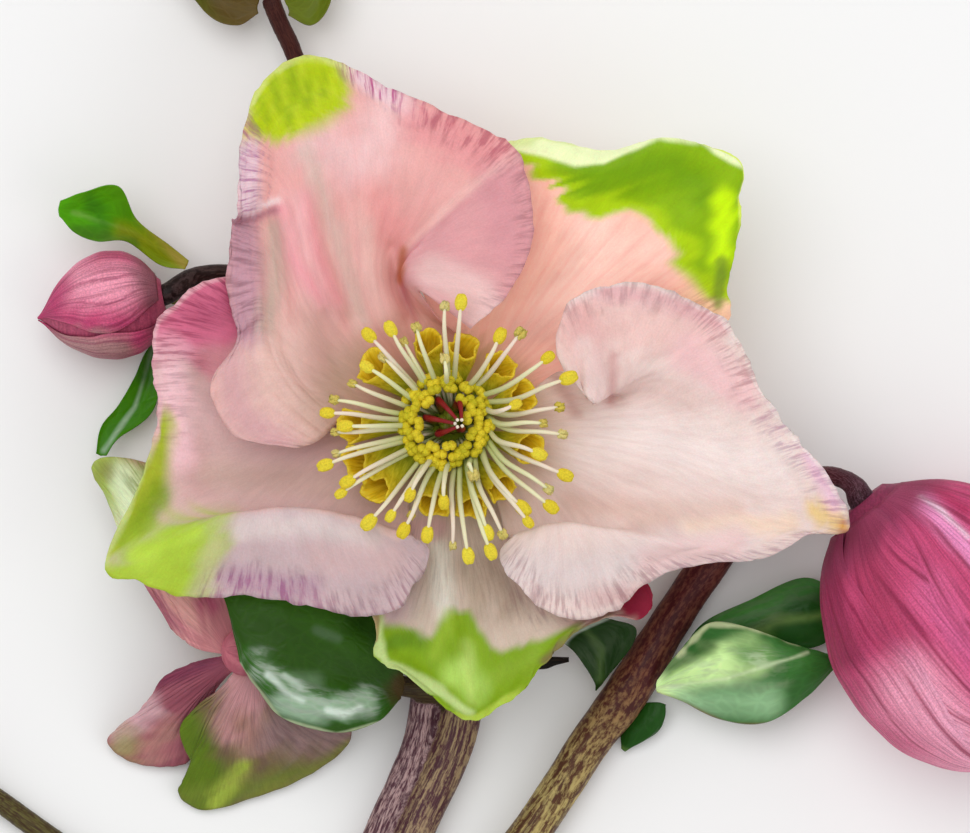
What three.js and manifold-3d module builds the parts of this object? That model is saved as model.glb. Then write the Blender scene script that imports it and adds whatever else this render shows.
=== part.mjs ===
// A cut hellebore stem lying on a surface: one open flower that faces up, one
// side flower that faces down, four buds, and the bracts on their branches.
// Millimetres, +Z up. The origin is the flat spot of the stem under the open flower.
import * as THREE from 'three';
import { mergeVertices } from 'three/addons/utils/BufferGeometryUtils.js';
import Module from 'manifold-3d';

const wasm = await Module();
wasm.setup();

// ---------------------------------------------------------------- driving dimensions
// Control points below are in steps of 1.1 mm, which makes the open flower 81 mm across.
const STEP = 1.1;
const FLOWER_HEIGHT = 13.5;      // steps from the surface to the open flower's sepal ring
const SEPAL_THICKNESS = 0.72;    // mm
const BRACT_THICKNESS = 0.7;     // mm
const SEPAL_RING_RADIUS = 3;     // steps, where the open flower's sepals are attached
const SIDE_RING = { x: -20.6, y: -22.8, z: 8.2, radius: 2.3 };
const RUFFLE = 0.3;              // steps, height of the ripples at a sepal's edge
const SLIVER = 0.02;             // steps

const degrees = THREE.MathUtils.degToRad;
const vector = ([x, y, z]) => new THREE.Vector3(x, y, z);
const spline = (points) => new THREE.CatmullRomCurve3(points, false, 'catmullrom', 0.5);

// ---------------------------------------------------------------- materials
const material = (color, roughness) =>
  new THREE.MeshStandardMaterial({ color, roughness, metalness: 0 });
const SEPAL = material(0xe6c3c2, 0.6);
const SIDE_SEPAL = material(0xb8607c, 0.6);
const BUD = material(0xb63a68, 0.55);
const LEAF = material(0x2f5a14, 0.4);
const DRY_LEAF = material(0x1d1a1b, 0.7);
const STEM = material(0x4a2c2a, 0.55);
const ANTHER = material(0xe6cf2a, 0.7);
const NECTARY = material(0xb8a80e, 0.45);
const STYLE = material(0x6a1218, 0.5);

// ---------------------------------------------------------------- solids
const model = new THREE.Group();

function addPart(name, geometry, surface) {
  geometry.scale(STEP, STEP, STEP);
  const mesh = new THREE.Mesh(geometry, surface);
  mesh.name = name;
  model.add(mesh);
}

function toSolid(geometry) {
  const bare = geometry.clone();
  bare.deleteAttribute('normal');
  bare.deleteAttribute('uv');
  const merged = mergeVertices(bare, 1e-5);
  return new wasm.Manifold(new wasm.Mesh({
    numProp: 3,
    vertProperties: new Float32Array(merged.attributes.position.array),
    triVerts: new Uint32Array(merged.index.array),
  }));
}

function toGeometry(solid) {
  const mesh = solid.getMesh();
  const geometry = new THREE.BufferGeometry();
  geometry.setAttribute('position', new THREE.BufferAttribute(mesh.vertProperties, 3));
  geometry.setIndex(new THREE.BufferAttribute(mesh.triVerts, 1));
  return geometry;
}

// Draws the ends of every edge shorter than SLIVER together, and drops the
// triangles that this flattens.
function weld(geometry) {
  const position = geometry.attributes.position;
  const points = [];
  for (let i = 0; i < position.count; i += 1) {
    points.push(new THREE.Vector3().fromBufferAttribute(position, i));
  }
  const owner = points.map((unused, i) => i);
  const find = (i) => {
    while (owner[i] !== i) {
      i = owner[i];
    }
    return i;
  };
  const corners = geometry.index.array;
  for (let t = 0; t < corners.length; t += 1) {
    const a = find(corners[t]);
    const b = find(corners[t % 3 === 2 ? t - 2 : t + 1]);
    if (a !== b && points[a].distanceTo(points[b]) < SLIVER) {
      owner[b] = a;
    }
  }
  const kept = new Map();
  for (let t = 0; t < corners.length; t += 3) {
    const triangle = [find(corners[t]), find(corners[t + 1]), find(corners[t + 2])];
    if (new Set(triangle).size === 3) {
      const key = triangle.toSorted((a, b) => a - b).join();
      if (kept.has(key)) {
        kept.delete(key);
      } else {
        kept.set(key, triangle);
      }
    }
  }
  return indexed(points, [...kept.values()].flat());
}

const largest = (solid) =>
  solid.decompose().sort((a, b) => b.volume() - a.volume())[0];

// Joins the pieces; a hollow that this seals off between them is filled.
function join(geometries) {
  const solids = geometries.map(toSolid);
  return largest(solids.reduce((whole, piece) => whole.add(piece)));
}

const clean = (solid) => toGeometry(largest(toSolid(weld(toGeometry(solid)))));
const fuse = (geometries) => clean(join(geometries));

// What would reach below the surface is cut off flat on it.
function fuseOnSurface(geometries) {
  const size = 200;
  const below = new THREE.BoxGeometry(size, size, size).translate(0, 0, -size / 2);
  return clean(join(geometries).subtract(toSolid(below)));
}

function indexed(vertices, triangles) {
  const geometry = new THREE.BufferGeometry();
  const numbers = vertices.flatMap((point) => [point.x, point.y, point.z]);
  geometry.setAttribute('position', new THREE.Float32BufferAttribute(numbers, 3));
  geometry.setIndex(triangles);
  return geometry;
}

// ---------------------------------------------------------------- sheets
// A sheet is spanned by rings of control points, from its base to its far edge.
// Each ring runs counter-clockwise, so that the sheet's first face looks up.
function sheetGrid(rings, columns, rows) {
  const curves = rings.map((ring) => spline(ring.map(vector)));
  const grid = [];
  for (let i = 0; i <= columns; i += 1) {
    const spoke = spline(curves.map((curve) => curve.getPoint(i / columns)));
    const line = [];
    for (let j = 0; j <= rows; j += 1) {
      line.push(spoke.getPoint(j / rows));
    }
    grid.push(line);
  }
  return grid;
}

function gridNormal(grid, i, j) {
  const columns = grid.length - 1;
  const rows = grid[0].length - 1;
  const across = grid[Math.min(i + 1, columns)][j].clone().sub(grid[Math.max(i - 1, 0)][j]);
  const outward = grid[i][Math.min(j + 1, rows)].clone().sub(grid[i][Math.max(j - 1, 0)]);
  return outward.cross(across).normalize();
}

// Closes two matching grids into one body; both faces are split alike.
function closeGrids(front, back) {
  const columns = front.length - 1;
  const rows = front[0].length - 1;
  const vertices = [...front.flat(), ...back.flat()];
  const offset = (columns + 1) * (rows + 1);
  const at = (i, j) => i * (rows + 1) + j;
  const triangles = [];
  for (let i = 0; i < columns; i += 1) {
    for (let j = 0; j < rows; j += 1) {
      const [a, b, c, d] = [at(i, j), at(i + 1, j), at(i + 1, j + 1), at(i, j + 1)];
      triangles.push(a, d, c, a, c, b);
      triangles.push(a + offset, c + offset, d + offset);
      triangles.push(a + offset, b + offset, c + offset);
    }
  }
  const wall = (a, b) => triangles.push(a, b, b + offset, a, b + offset, a + offset);
  for (let i = 0; i < columns; i += 1) {
    wall(at(i, 0), at(i + 1, 0));
    wall(at(i + 1, rows), at(i, rows));
  }
  for (let j = 0; j < rows; j += 1) {
    wall(at(columns, j), at(columns, j + 1));
    wall(at(0, j + 1), at(0, j));
  }
  return indexed(vertices, triangles);
}

function blade(grid, thickness) {
  const half = thickness / STEP / 2;
  const shifted = (side) => grid.map((line, i) => line.map((point, j) =>
    point.clone().addScaledVector(gridNormal(grid, i, j), side * half)));
  return closeGrids(shifted(1), shifted(-1));
}

// The edge of a sepal ripples, more towards its rim.
function ruffle(grid, waves, phase) {
  const columns = grid.length - 1;
  const rows = grid[0].length - 1;
  grid.forEach((line, i) => line.forEach((point, j) => {
    const turn = 2 * Math.PI * (waves * i / columns + phase);
    point.z += RUFFLE * Math.sin(turn) * (j / rows) ** 4;
  }));
  return grid;
}

function baseArc(centre, radius, from, to) {
  const points = [];
  for (let k = 0; k <= 4; k += 1) {
    const angle = degrees(from + (to - from) * k / 4);
    points.push([
      centre.x + radius * Math.cos(angle), centre.y + radius * Math.sin(angle), centre.z,
    ]);
  }
  return points;
}

// ---------------------------------------------------------------- round pieces
// A tube along a spline; stations are [x, y, z, radius], its ends are closed.
// A cup shows the far end pushed in by that depth.
function tube(stations, sides, rings, cup = 0) {
  const path = spline(stations.map(vector));
  const radii = spline(stations.map((station) => new THREE.Vector3(station[3], 0, 0)));
  const vertices = [];
  const triangles = [];
  const zenith = new THREE.Vector3(0, 0, 1);
  let side = path.getTangent(0).cross(zenith);
  for (let k = 0; k <= rings; k += 1) {
    const centre = path.getPoint(k / rings);
    const heading = path.getTangent(k / rings);
    side = side.addScaledVector(heading, -side.dot(heading)).normalize();
    const up = heading.clone().cross(side);
    const radius = radii.getPoint(k / rings).x;
    for (let m = 0; m < sides; m += 1) {
      const angle = 2 * Math.PI * (m + 0.5) / sides;
      vertices.push(centre.clone()
        .addScaledVector(side, radius * Math.cos(angle))
        .addScaledVector(up, radius * Math.sin(angle)));
    }
  }
  for (let k = 0; k < rings; k += 1) {
    for (let m = 0; m < sides; m += 1) {
      const next = (m + 1) % sides;
      const [a, b] = [k * sides + m, k * sides + next];
      triangles.push(a, b, b + sides, a, b + sides, a + sides);
    }
  }
  const start = vertices.length;
  vertices.push(path.getPoint(0));
  vertices.push(path.getPoint(1).addScaledVector(path.getTangent(1), -cup));
  for (let m = 0; m < sides; m += 1) {
    const next = (m + 1) % sides;
    const last = rings * sides;
    triangles.push(start, next, m);
    triangles.push(start + 1, last + m, last + next);
  }
  return indexed(vertices, triangles);
}

function ball(x, y, z, radius, sides = 10, flatten = 1) {
  const geometry = new THREE.SphereGeometry(radius, sides, Math.round(sides * 0.7));
  return geometry.rotateX(Math.PI / 2).scale(1, 1, flatten).translate(x, y, z);
}

// An oval anther whose long axis lies along its filament's heading.
function anther(tip, heading, length, width, shape = new THREE.SphereGeometry(1, 5, 3)) {
  const geometry = shape.scale(width, length, width * 0.8);
  const turn = new THREE.Quaternion().setFromUnitVectors(new THREE.Vector3(0, 1, 0), heading);
  return geometry.applyQuaternion(turn).translate(tip.x, tip.y, tip.z);
}

// ---------------------------------------------------------------- open flower: sepals
// Angles are degrees round the flower; heights are steps from the sepal ring.
const SEPALS = [
  {
    name: 'sepal_top_left', from: 79, to: 163, base: -0.3, waves: 7, phase: 0.2,
    inner: [[1.6, 7.8, 0.3], [-3.6, 9.8, 0.6], [-8.8, 9, 1], [-10.5, 5, 1.2], [-8, 0.5, 0.6]],
    middle: [
      [-1.2, 10.8, 2.4], [-3, 12.2, 1.8], [-5.4, 15, 1.6], [-8, 16.4, 2.6], [-12, 15.8, 2.8],
      [-14, 12.5, 3.6], [-14.5, 9, 3.4], [-14.3, 4.5, 3.2], [-10.6, 0.6, 2.4],
    ],
    outer: [
      [-2.9, 13.4, 5.6], [-4, 16, 6.2], [-1.6, 20.6, 7.2], [-7, 25.4, 5.2], [-14.3, 27, 4.8],
      [-17.6, 22.4, 5], [-18, 14.5, 3], [-18.5, 6.4, 5.2], [-13.4, -1.7, 4.4],
    ],
    rim: [
      [2, 9.6, 7.8], [5.6, 13, 8.4], [7.9, 17, 8], [8.1, 21.6, 7.2], [6.6, 27.4, 6.2],
      [0.6, 30.8, 5.6], [-6, 33.6, 5.4], [-11, 36.2, 5.4], [-15.5, 36.6, 5.6],
      [-19.4, 33, 5.4], [-20.9, 26.5, 5.8], [-21.2, 21.2, 6.6], [-21.8, 19.8, 3.2],
      [-22.3, 13.4, 2.4], [-21.3, 8.6, 4.6], [-23.9, 3.8, 6.2], [-21.4, -1, 6],
      [-16.4, -2.4, 5.4],
    ],
  },
  {
    name: 'sepal_top_right', from: 12, to: 75, base: -2.3, waves: 6, phase: 0.6,
    inner: [[7.5, 2.5, -1.8], [9.5, 6, -1.4], [9, 9, -1], [5.6, 10, -1], [0.8, 7.9, -1.5]],
    middle: [
      [13, 3.5, -1.2], [17, 7, -0.6], [19.5, 11, 0.2], [20.5, 15, 1.2], [19.5, 18.5, 1.8],
      [16, 20.5, 2], [11.4, 20.5, 1.4], [4.4, 18.2, 0.2], [-2.4, 12.4, -1.2],
    ],
    outer: [
      [18, 4, -0.6], [24, 9.5, 0.2], [25.8, 14.6, 1.4], [27.4, 21, 2.6], [27.4, 25.2, 3.4],
      [21.4, 27.5, 4], [14.4, 25.7, 3.4], [5.6, 26, 1.8], [-3.4, 18, -0.8],
    ],
    rim: [
      [22, 5, 0], [26, 8, 0.5], [27.9, 10.8, 1], [27.8, 13.8, 1.2], [28.4, 17.2, 1.6],
      [29, 20.4, 2], [29, 23, 2.4], [29.4, 25.2, 2.6], [28.6, 26.7, 2.8],
      [25, 28, 2.8], [21, 28.5, 2.6], [18, 27.8, 1.4], [15, 27.4, 0.8],
      [12, 28.2, 0.6], [8.4, 28.7, 0.8], [3.6, 27.6, 0.5], [-2.6, 22.6, -0.8],
    ],
  },
  {
    name: 'sepal_right', from: -49, to: 9, base: -0.3, waves: 6, phase: 0.9,
    inner: [[4.4, -7, 0.6], [9.5, -5.6, 1], [11.5, -2, 1.4], [10.6, 1, 1.2], [7.2, 2.8, 0.8]],
    middle: [
      [5.6, -10.8, 1.8], [10.2, -11.8, 1.8], [15, -10.8, 2.4], [20, -8, 3], [21.5, -4.5, 3.2],
      [21, -1, 3.2], [19, 2.4, 3], [15.2, 3.4, 2.2], [11.4, 5.4, 2],
    ],
    outer: [
      [6.6, -10.8, 6.6], [10.4, -10.2, 7], [15.5, -10.5, 6.8], [24, -11.3, 5.2], [31, -8.5, 4.4],
      [29, -2.5, 4.4], [22.5, 5.2, 4.6], [17, 4.2, 5.6], [14.2, 2.1, 6.9],
    ],
    rim: [
      [4.3, -12.6, 6.2], [6, -15.2, 5.8], [10.6, -19.1, 4.7], [16, -18.8, 4],
      [20.5, -15.3, 4], [26, -13.8, 4.2], [31.5, -13.1, 4], [36, -10.9, 4], [40, -10.2, 4.4],
      [37.4, -4.6, 4.6], [34.4, -1, 4.8], [31.2, 3.4, 5], [28.8, 8.6, 5.2],
      [26, 11.5, 5], [19.6, 14.1, 5.2], [12.6, 12.8, 6.2], [9.2, 7.8, 7.4],
    ],
  },
  {
    name: 'sepal_bottom', from: 237, to: 305, base: -2.3, waves: 6, phase: 0.4,
    inner: [[-3.6, -6, -1.4], [-2.4, -8.6, -1], [0.6, -9.6, -1], [3.6, -8.8, -1], [5.4, -6.6, -1.4]],
    middle: [
      [-5.5, -8.5, -0.8], [-4.6, -12, 0], [-3.4, -15, 0.6], [-1.4, -17, 0.8], [1, -17.5, 0.4],
      [4, -16.5, 0.6], [7, -14.5, 0.4], [9, -12, -0.4], [9.5, -8.5, -1],
    ],
    outer: [
      [-7.5, -10.5, 0], [-7.2, -15.5, 1.2], [-6, -21.5, 2], [-2.5, -25, 2.2], [1.8, -27.2, 2],
      [5.5, -25, 2.2], [10, -20.5, 2], [15, -17, 0.6], [14, -10.5, -0.6],
    ],
    rim: [
      [-9, -12, 1], [-9.5, -15, 1.6], [-8, -18.4, 2.6], [-7.4, -20.6, 2.8],
      [-7.6, -23.2, 3], [-4.8, -24.8, 3.4], [-1.8, -27, 3.6], [0.2, -28.6, 3.6],
      [2.4, -29.5, 3.6], [4.6, -28.5, 3.6], [7.2, -26.3, 3.6], [9.6, -23.7, 3.4],
      [12.5, -20.9, 2.8], [16, -19.2, 2], [19.3, -19.4, 1], [20.4, -17, 0], [17.5, -13, -0.5],
    ],
  },
  {
    name: 'sepal_left', from: 167, to: 233, base: -1.3, waves: 7, phase: 0.1,
    inner: [[-5.5, 3, -0.9], [-9.5, 3, -0.2], [-11.5, -1, 0.2], [-10.5, -5.5, 0.5], [-4, -6.5, 0]],
    middle: [
      [-7, 4.5, -0.7], [-13, 6, 0.2], [-17, 5, 0.9], [-19, 0.5, 1], [-21.5, -6, 1.2],
      [-19.8, -9.8, 1.1], [-15.5, -10.6, 1.2], [-9.5, -11, 1.2], [-4, -11, 1.2],
    ],
    outer: [
      [-10.5, 6.8, -0.6], [-17.5, 9.5, 0.7], [-23, 8.5, 1.8], [-25, 2, 1.9], [-28.5, -9.5, 2],
      [-22.5, -9.3, 4.8], [-16, -8.6, 6], [-9.5, -9.5, 6.2], [-4.2, -10.9, 5.8],
    ],
    rim: [
      [-15, 10, -0.2], [-20, 14.2, 0.8], [-24, 14.6, 1.8], [-27.5, 12.2, 2.4],
      [-29.6, 9.6, 2.8], [-29.8, 6, 2.8], [-29.3, 2, 2.6], [-30.3, -4, 2.5],
      [-34.4, -13.8, 3], [-31.3, -15.6, 3.2], [-26.4, -17.2, 3.4], [-21, -17, 3.8],
      [-15, -17.9, 4.2], [-9.5, -19, 4.4], [-5.2, -18.2, 4.6], [-3.1, -15.4, 5], [-0.9, -12.6, 5.3],
    ],
  },
];

const raise = (ring) => ring.map(([x, y, z]) => [x, y, z + FLOWER_HEIGHT]);

for (const sepal of SEPALS) {
  const centre = { x: 0, y: 0, z: sepal.base };
  const base = baseArc(centre, SEPAL_RING_RADIUS, sepal.from, sepal.to);
  const rings = [base, sepal.inner, sepal.middle, sepal.outer, sepal.rim].map(raise);
  const grid = ruffle(sheetGrid(rings, 14, 8), sepal.waves, sepal.phase);
  addPart(sepal.name, blade(grid, SEPAL_THICKNESS), SEPAL);
}

// ---------------------------------------------------------------- open flower: nectaries
// Twelve two-lipped cups on a ring, [angle, reach of the mouth].
const NECTARIES = [
  [106, 8.4], [80, 7.6], [49, 7.6], [22, 7.6], [-16, 8], [-50, 7.8],
  [-75, 8.2], [-103, 8], [-139, 9.4], [-158, 10], [-179, 9.6], [143, 9.4],
];

function nectary([angle, reach]) {
  const [cos, sin] = [Math.cos(degrees(angle)), Math.sin(degrees(angle))];
  const station = (radius, height, width) =>
    [radius * cos, radius * sin, height + FLOWER_HEIGHT, width];
  const stations = [
    station(3.1, 0.8, 0.4), station(reach * 0.62, 2.2, 0.7),
    station(reach * 0.86, 3.2, 1.2), station(reach, 4.4, 1.4),
  ];
  return tube(stations, 6, 3, 1.3);
}

const nectaryRing = new THREE.LatheGeometry([
  [2.65, 0.35], [3.5, 0.35], [3.5, 1.2], [2.65, 1.2], [2.65, 0.35],
].map(([radius, height]) => new THREE.Vector2(radius, height)), 16);
nectaryRing.rotateX(Math.PI / 2).translate(0, 0, FLOWER_HEIGHT);
addPart('nectaries', fuse([nectaryRing, ...NECTARIES.map(nectary)]), NECTARY);

// ---------------------------------------------------------------- open flower: stamens
// Anthers of the long stamens, [x, y, height, size]; small ones have shed their pollen.
const ANTHERS = [
  [-7.9, 8.8, 8.8, 1], [-5.8, 9.4, 8.8, 1], [-3.3, 9.6, 8.8, 0.6], [-4.5, 8.2, 7.6, 0.5],
  [-0.5, 11.7, 10, 0.6], [1.1, 12, 10.2, 1], [4.9, 8.7, 8.8, 1], [6.9, 9, 9, 0.7],
  [9.6, 6.6, 9.6, 0.9], [11.6, 4.6, 9.6, 1.1], [6.4, 2, 8.8, 0.8], [10.8, 1.8, 8.6, 0.6],
  [9.2, 0.2, 8.4, 0.5], [11.1, -0.9, 8.6, 0.6], [8.7, -2.8, 8.6, 1], [11.3, -4.9, 8.8, 1],
  [9.7, -6.3, 9, 0.6], [9.9, -8, 9.2, 1], [7.1, -8.1, 9.2, 1.1], [7.7, -9.5, 9.6, 0.8],
  [5.2, -10.7, 9.2, 0.6], [3.7, -10.5, 9, 1], [4, -12.4, 9.2, 1], [1.8, -12.8, 9, 1],
  [0.3, -11.9, 8.4, 0.5], [-0.6, -7.5, 8.4, 0.9], [-2.2, -10.7, 8.8, 1], [-4.5, -10.3, 8.8, 1],
  [-3.8, -8.9, 8, 0.5], [-3.9, -6.8, 8.6, 0.9], [-5.8, -8.9, 8.6, 0.8], [-7.9, -9.5, 8.8, 1.1],
  [-10.7, -6.7, 8.4, 0.8], [-10, -5.5, 8.8, 1], [-12.2, -3.9, 8.4, 1], [-11.2, -2.8, 8, 0.5],
  [-10.2, -0.1, 8.8, 1], [-11.3, -0.7, 7.8, 0.5], [-12, 1.2, 8.6, 0.9], [-11.4, 2.5, 8.2, 0.6],
  [-9.6, 4.1, 8, 0.5], [-8.1, 5.7, 8.4, 0.9], [-6.5, 6.7, 8.2, 0.6], [-0.5, 6.5, 8.6, 0.6],
  [2.3, -4.8, 8.2, 0.7],
];
const FILAMENTS = { footRadius: 2, footHeight: 0.8, footStagger: 0.9, radius: 0.24 };

// The filaments' feet are spread evenly round the dome in the order of their anthers.
function longStamen([x, y, height, size], order) {
  const turn = 2 * Math.PI * order / ANTHERS.length - Math.PI;
  const reach = Math.hypot(x, y);
  const aim = Math.atan2(y, x);
  const bend = aim + 0.6 * (((turn - aim + 3 * Math.PI) % (2 * Math.PI)) - Math.PI);
  const at = (angle, radius, level, width) => [
    radius * Math.cos(angle), radius * Math.sin(angle), level + FLOWER_HEIGHT, width,
  ];
  const foot = FILAMENTS.footHeight + FILAMENTS.footStagger * (order % 2);
  const stations = [
    at(turn, FILAMENTS.footRadius, foot, 0.16), at(bend, 3.5, 4.2, 0.2),
    at(aim, Math.max(4.4, reach * 0.55), height * 0.78, FILAMENTS.radius),
    at(aim, reach, height, FILAMENTS.radius * 0.8),
  ];
  const heading = vector(stations[3]).sub(vector(stations[2])).normalize();
  const tip = vector(stations[3]).addScaledVector(heading, size * 0.2);
  return [tube(stations, 3, 3), anther(tip, heading, size * 0.95, size * 0.62)];
}

const byAngle = (first, second) =>
  Math.atan2(first[1], first[0]) - Math.atan2(second[1], second[0]);

// Unopened anthers stand in a close crown, spread by the golden angle.
const CROWN = { count: 18, from: 2.7, to: 4.1, height: 5.9, golden: 137.5, x: -0.4, y: 0.5 };

function crownStamen(index) {
  const share = Math.sqrt((index + 0.5) / CROWN.count);
  const radius = CROWN.from + (CROWN.to - CROWN.from) * share;
  const angle = degrees(index * CROWN.golden);
  const [cos, sin] = [Math.cos(angle), Math.sin(angle)];
  const height = FLOWER_HEIGHT + CROWN.height - 0.5 * share;
  const foot = [1.5 * cos, 1.5 * sin, FLOWER_HEIGHT + 2, 0.2];
  const top = [radius * cos + CROWN.x, radius * sin + CROWN.y, height, 0.2];
  const up = new THREE.Vector3(0.3 * cos, 0.3 * sin, 1).normalize();
  const shape = new THREE.OctahedronGeometry(1);
  return [tube([foot, top], 3, 1), anther(vector(top), up, 0.8, 0.66, shape)];
}

const dome = new THREE.CylinderGeometry(2, 2.3, 2.2, 12).rotateX(Math.PI / 2);
dome.translate(0, 0, FLOWER_HEIGHT + 1.4);
const crown = Array.from({ length: CROWN.count }, (unused, index) => crownStamen(index));
const longStamens = ANTHERS.toSorted(byAngle).flatMap(longStamen);
addPart('stamens', fuse([dome, ...longStamens, ...crown.flat()]), ANTHER);

// ---------------------------------------------------------------- open flower: carpels
const STYLES = [[0.6, 1.7], [-0.8, 1.7], [-1.6, 0.5], [-0.8, -0.6], [0.8, -0.3]];

function carpel([x, y], index) {
  const z = FLOWER_HEIGHT;
  const turn = degrees(72 * index);
  const [cos, sin] = [Math.cos(turn), Math.sin(turn)];
  const foot = [x * 0.6, y * 0.6, z + 3.2, 0.4];
  const waist = [x, y, z + 5, 0.36];
  const neck = [1 + 0.5 * cos, 0.5 * sin, z + 7, 0.26];
  return tube([foot, waist, neck, [1.5 + 0.6 * cos, 0.6 * sin, z + 8.2, 0.2]], 4, 3);
}

const ovary = ball(0, 0.3, FLOWER_HEIGHT + 3.7, 1.2, 8, 0.75);
addPart('carpels', fuse([ovary, ...STYLES.map(carpel)]), STYLE);

// ---------------------------------------------------------------- side flower
const SIDE_SEPALS = [
  {
    name: 'side_sepal_up_left', from: 99, to: 187,
    middle: [
      [-20.4, -18.6, 8], [-22.8, -15, 7.6], [-27, -12.5, 7.2], [-27.8, -16.5, 7.4],
      [-25.6, -22.5, 7.5],
    ],
    rim: [
      [-19.5, -15.5, 6.4], [-21.5, -10, 6], [-25, -6, 6], [-30, -4, 6.4], [-34.2, -3.2, 7.2],
      [-36.2, -4.3, 5.4], [-34.5, -8, 5.2], [-32.2, -13.5, 5.6], [-28.2, -20.6, 6.2],
    ],
  },
  {
    name: 'side_sepal_left', from: 191, to: 236,
    middle: [
      [-24.6, -23.6, 7.6], [-26.3, -24.9, 7.4], [-27.6, -27.2, 6.2], [-26.4, -28.6, 5],
      [-23.7, -26.8, 5.8],
    ],
    rim: [
      [-26.2, -24, 7], [-29, -25.5, 6], [-30.3, -27.5, 4.6], [-32.2, -29.7, 3.2],
      [-34.7, -31.8, 1.4], [-33, -33.8, 0.9], [-29.8, -34.6, 1], [-26.6, -34.1, 1.2],
      [-24.9, -31, 2.6],
    ],
  },
  {
    name: 'side_sepal_down', from: 240, to: 317,
    middle: [
      [-23, -26.4, 7.6], [-24.2, -29.2, 6.8], [-22.6, -31.5, 5.6], [-18, -30.5, 5.8],
      [-15.2, -26.8, 5.6],
    ],
    rim: [
      [-24.6, -27.6, 7], [-27.3, -30.6, 4.8], [-26.2, -34.6, 2.6], [-27.6, -37.2, 1.2],
      [-25.2, -39, 0.7], [-20, -37.8, 0.8], [-14.5, -35.5, 1], [-10.4, -32.4, 2],
      [-10, -29, 3.4],
    ],
  },
  {
    name: 'side_sepal_right', from: 321, to: 388,
    middle: [
      [-16.4, -24.6, 6.4], [-14, -23.4, 5.6], [-12.6, -21.6, 5.2], [-13.6, -19.8, 5.6],
      [-16.4, -19.6, 6.4],
    ],
    rim: [
      [-13.6, -25.6, 4.4], [-10.4, -25, 3.6], [-8.6, -22.6, 2.6], [-7.6, -20.4, 2],
      [-7.8, -18.4, 1.6], [-9.4, -17.2, 2], [-11.4, -16.8, 3], [-13.4, -17, 4],
      [-14.8, -17.6, 4.8],
    ],
  },
  {
    name: 'side_sepal_up', from: 32, to: 95,
    middle: [
      [-17.6, -19.2, 7.2], [-17, -17.2, 6.4], [-17.4, -15.6, 5.6], [-18.6, -15.8, 5.4],
      [-20, -18, 6.2],
    ],
    rim: [
      [-15.6, -16.8, 5.4], [-13.6, -14.6, 4.2], [-13.2, -12, 3], [-14.2, -9.8, 2.2],
      [-16.4, -9, 2], [-18.6, -9.8, 2.2], [-20.2, -11.6, 2.6], [-21, -13.6, 3.2],
      [-21.4, -15.8, 4.2],
    ],
  },
];

for (const sepal of SIDE_SEPALS) {
  const base = baseArc(SIDE_RING, SIDE_RING.radius, sepal.from, sepal.to);
  const grid = sheetGrid([base, sepal.middle, sepal.rim], 10, 6);
  addPart(sepal.name, blade(grid, SEPAL_THICKNESS), SIDE_SEPAL);
}

// Its short stamens hang below its receptacle.
const HANGING_COUNT = 8;

function hangingStamen(index) {
  const angle = degrees(index * 137.5);
  const spread = 1 + 1.5 * Math.sqrt((index + 0.5) / HANGING_COUNT);
  const [cos, sin] = [Math.cos(angle), Math.sin(angle)];
  const foot = [SIDE_RING.x + 0.8 * cos, SIDE_RING.y + 0.8 * sin, 5.6, 0.2];
  const tip = [
    SIDE_RING.x + spread * cos, SIDE_RING.y + spread * sin, 1.6 + 0.14 * index, 0.2,
  ];
  const heading = vector(tip).sub(vector(foot)).normalize();
  return [tube([foot, tip], 3, 1), anther(vector(tip), heading, 0.9, 0.6)];
}

const hanging = Array.from({ length: HANGING_COUNT }, (unused, index) => hangingStamen(index));
const sideDome = ball(SIDE_RING.x, SIDE_RING.y, 5.7, 1.25, 9, 0.8);
addPart('side_flower_centre', fuse([sideDome, ...hanging.flat()]), ANTHER);

// ---------------------------------------------------------------- buds
// profile gives the half-width at shares of the length; overlap is how far each
// sepal stands out over the next one, cover the half-angle that it wraps.
const BUDS = [
  {
    name: 'bud_right', base: [41.4, -7.6, 10.6], tip: [62.5, -33, 8.8], flatten: 0.8,
    profile: [[0, 2], [0.06, 6], [0.14, 8.6], [0.33, 12.2], [0.5, 13], [0.66, 12.4],
      [0.8, 9.8], [0.92, 5.4], [1, 1]],
    sepals: [[250, 62, 0.9], [10, 52, 0.75], [130, 52, 0.5], [310, 44, 0.3], [70, 44, 0.3]],
    columns: 6, rows: 6,
  },
  {
    name: 'bud_left', base: [-29, 13, 5], tip: [-41.7, 10.7, 4.6], flatten: 0.95,
    profile: [[0, 1.6], [0.1, 3.7], [0.24, 4.8], [0.42, 5.1], [0.6, 4.5], [0.78, 3],
      [0.92, 1.2], [1, 0.25]],
    sepals: [[60, 62, 0.5], [175, 52, 0.3], [300, 50, 0.2]],
    columns: 5, rows: 6,
  },
  {
    name: 'bud_top', base: [-18.5, 44.3, 3.8], tip: [-20.4, 53.5, 3.6], flatten: 1,
    profile: [[0, 1.2], [0.15, 2.6], [0.4, 3.5], [0.65, 3], [0.85, 1.6], [1, 0.25]],
    sepals: [[80, 62, 0.4], [200, 52, 0.25], [320, 50, 0.15]],
    columns: 4, rows: 4,
  },
  {
    name: 'bud_low', base: [-49.4, -35.4, 2.6], tip: [-56.6, -30.6, 2.5], flatten: 1,
    profile: [[0, 0.9], [0.15, 1.8], [0.4, 2.4], [0.65, 2.1], [0.85, 1.1], [1, 0.25]],
    sepals: [[80, 62, 0.35], [200, 52, 0.2], [320, 50, 0.15]],
    columns: 4, rows: 4,
  },
];

function profileWidth(profile, share) {
  const next = Math.max(1, profile.findIndex(([place]) => place >= share));
  const [[from, low], [to, high]] = [profile[next - 1], profile[next]];
  const turn = (share - from) / (to - from);
  return low + (high - low) * turn;
}

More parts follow.
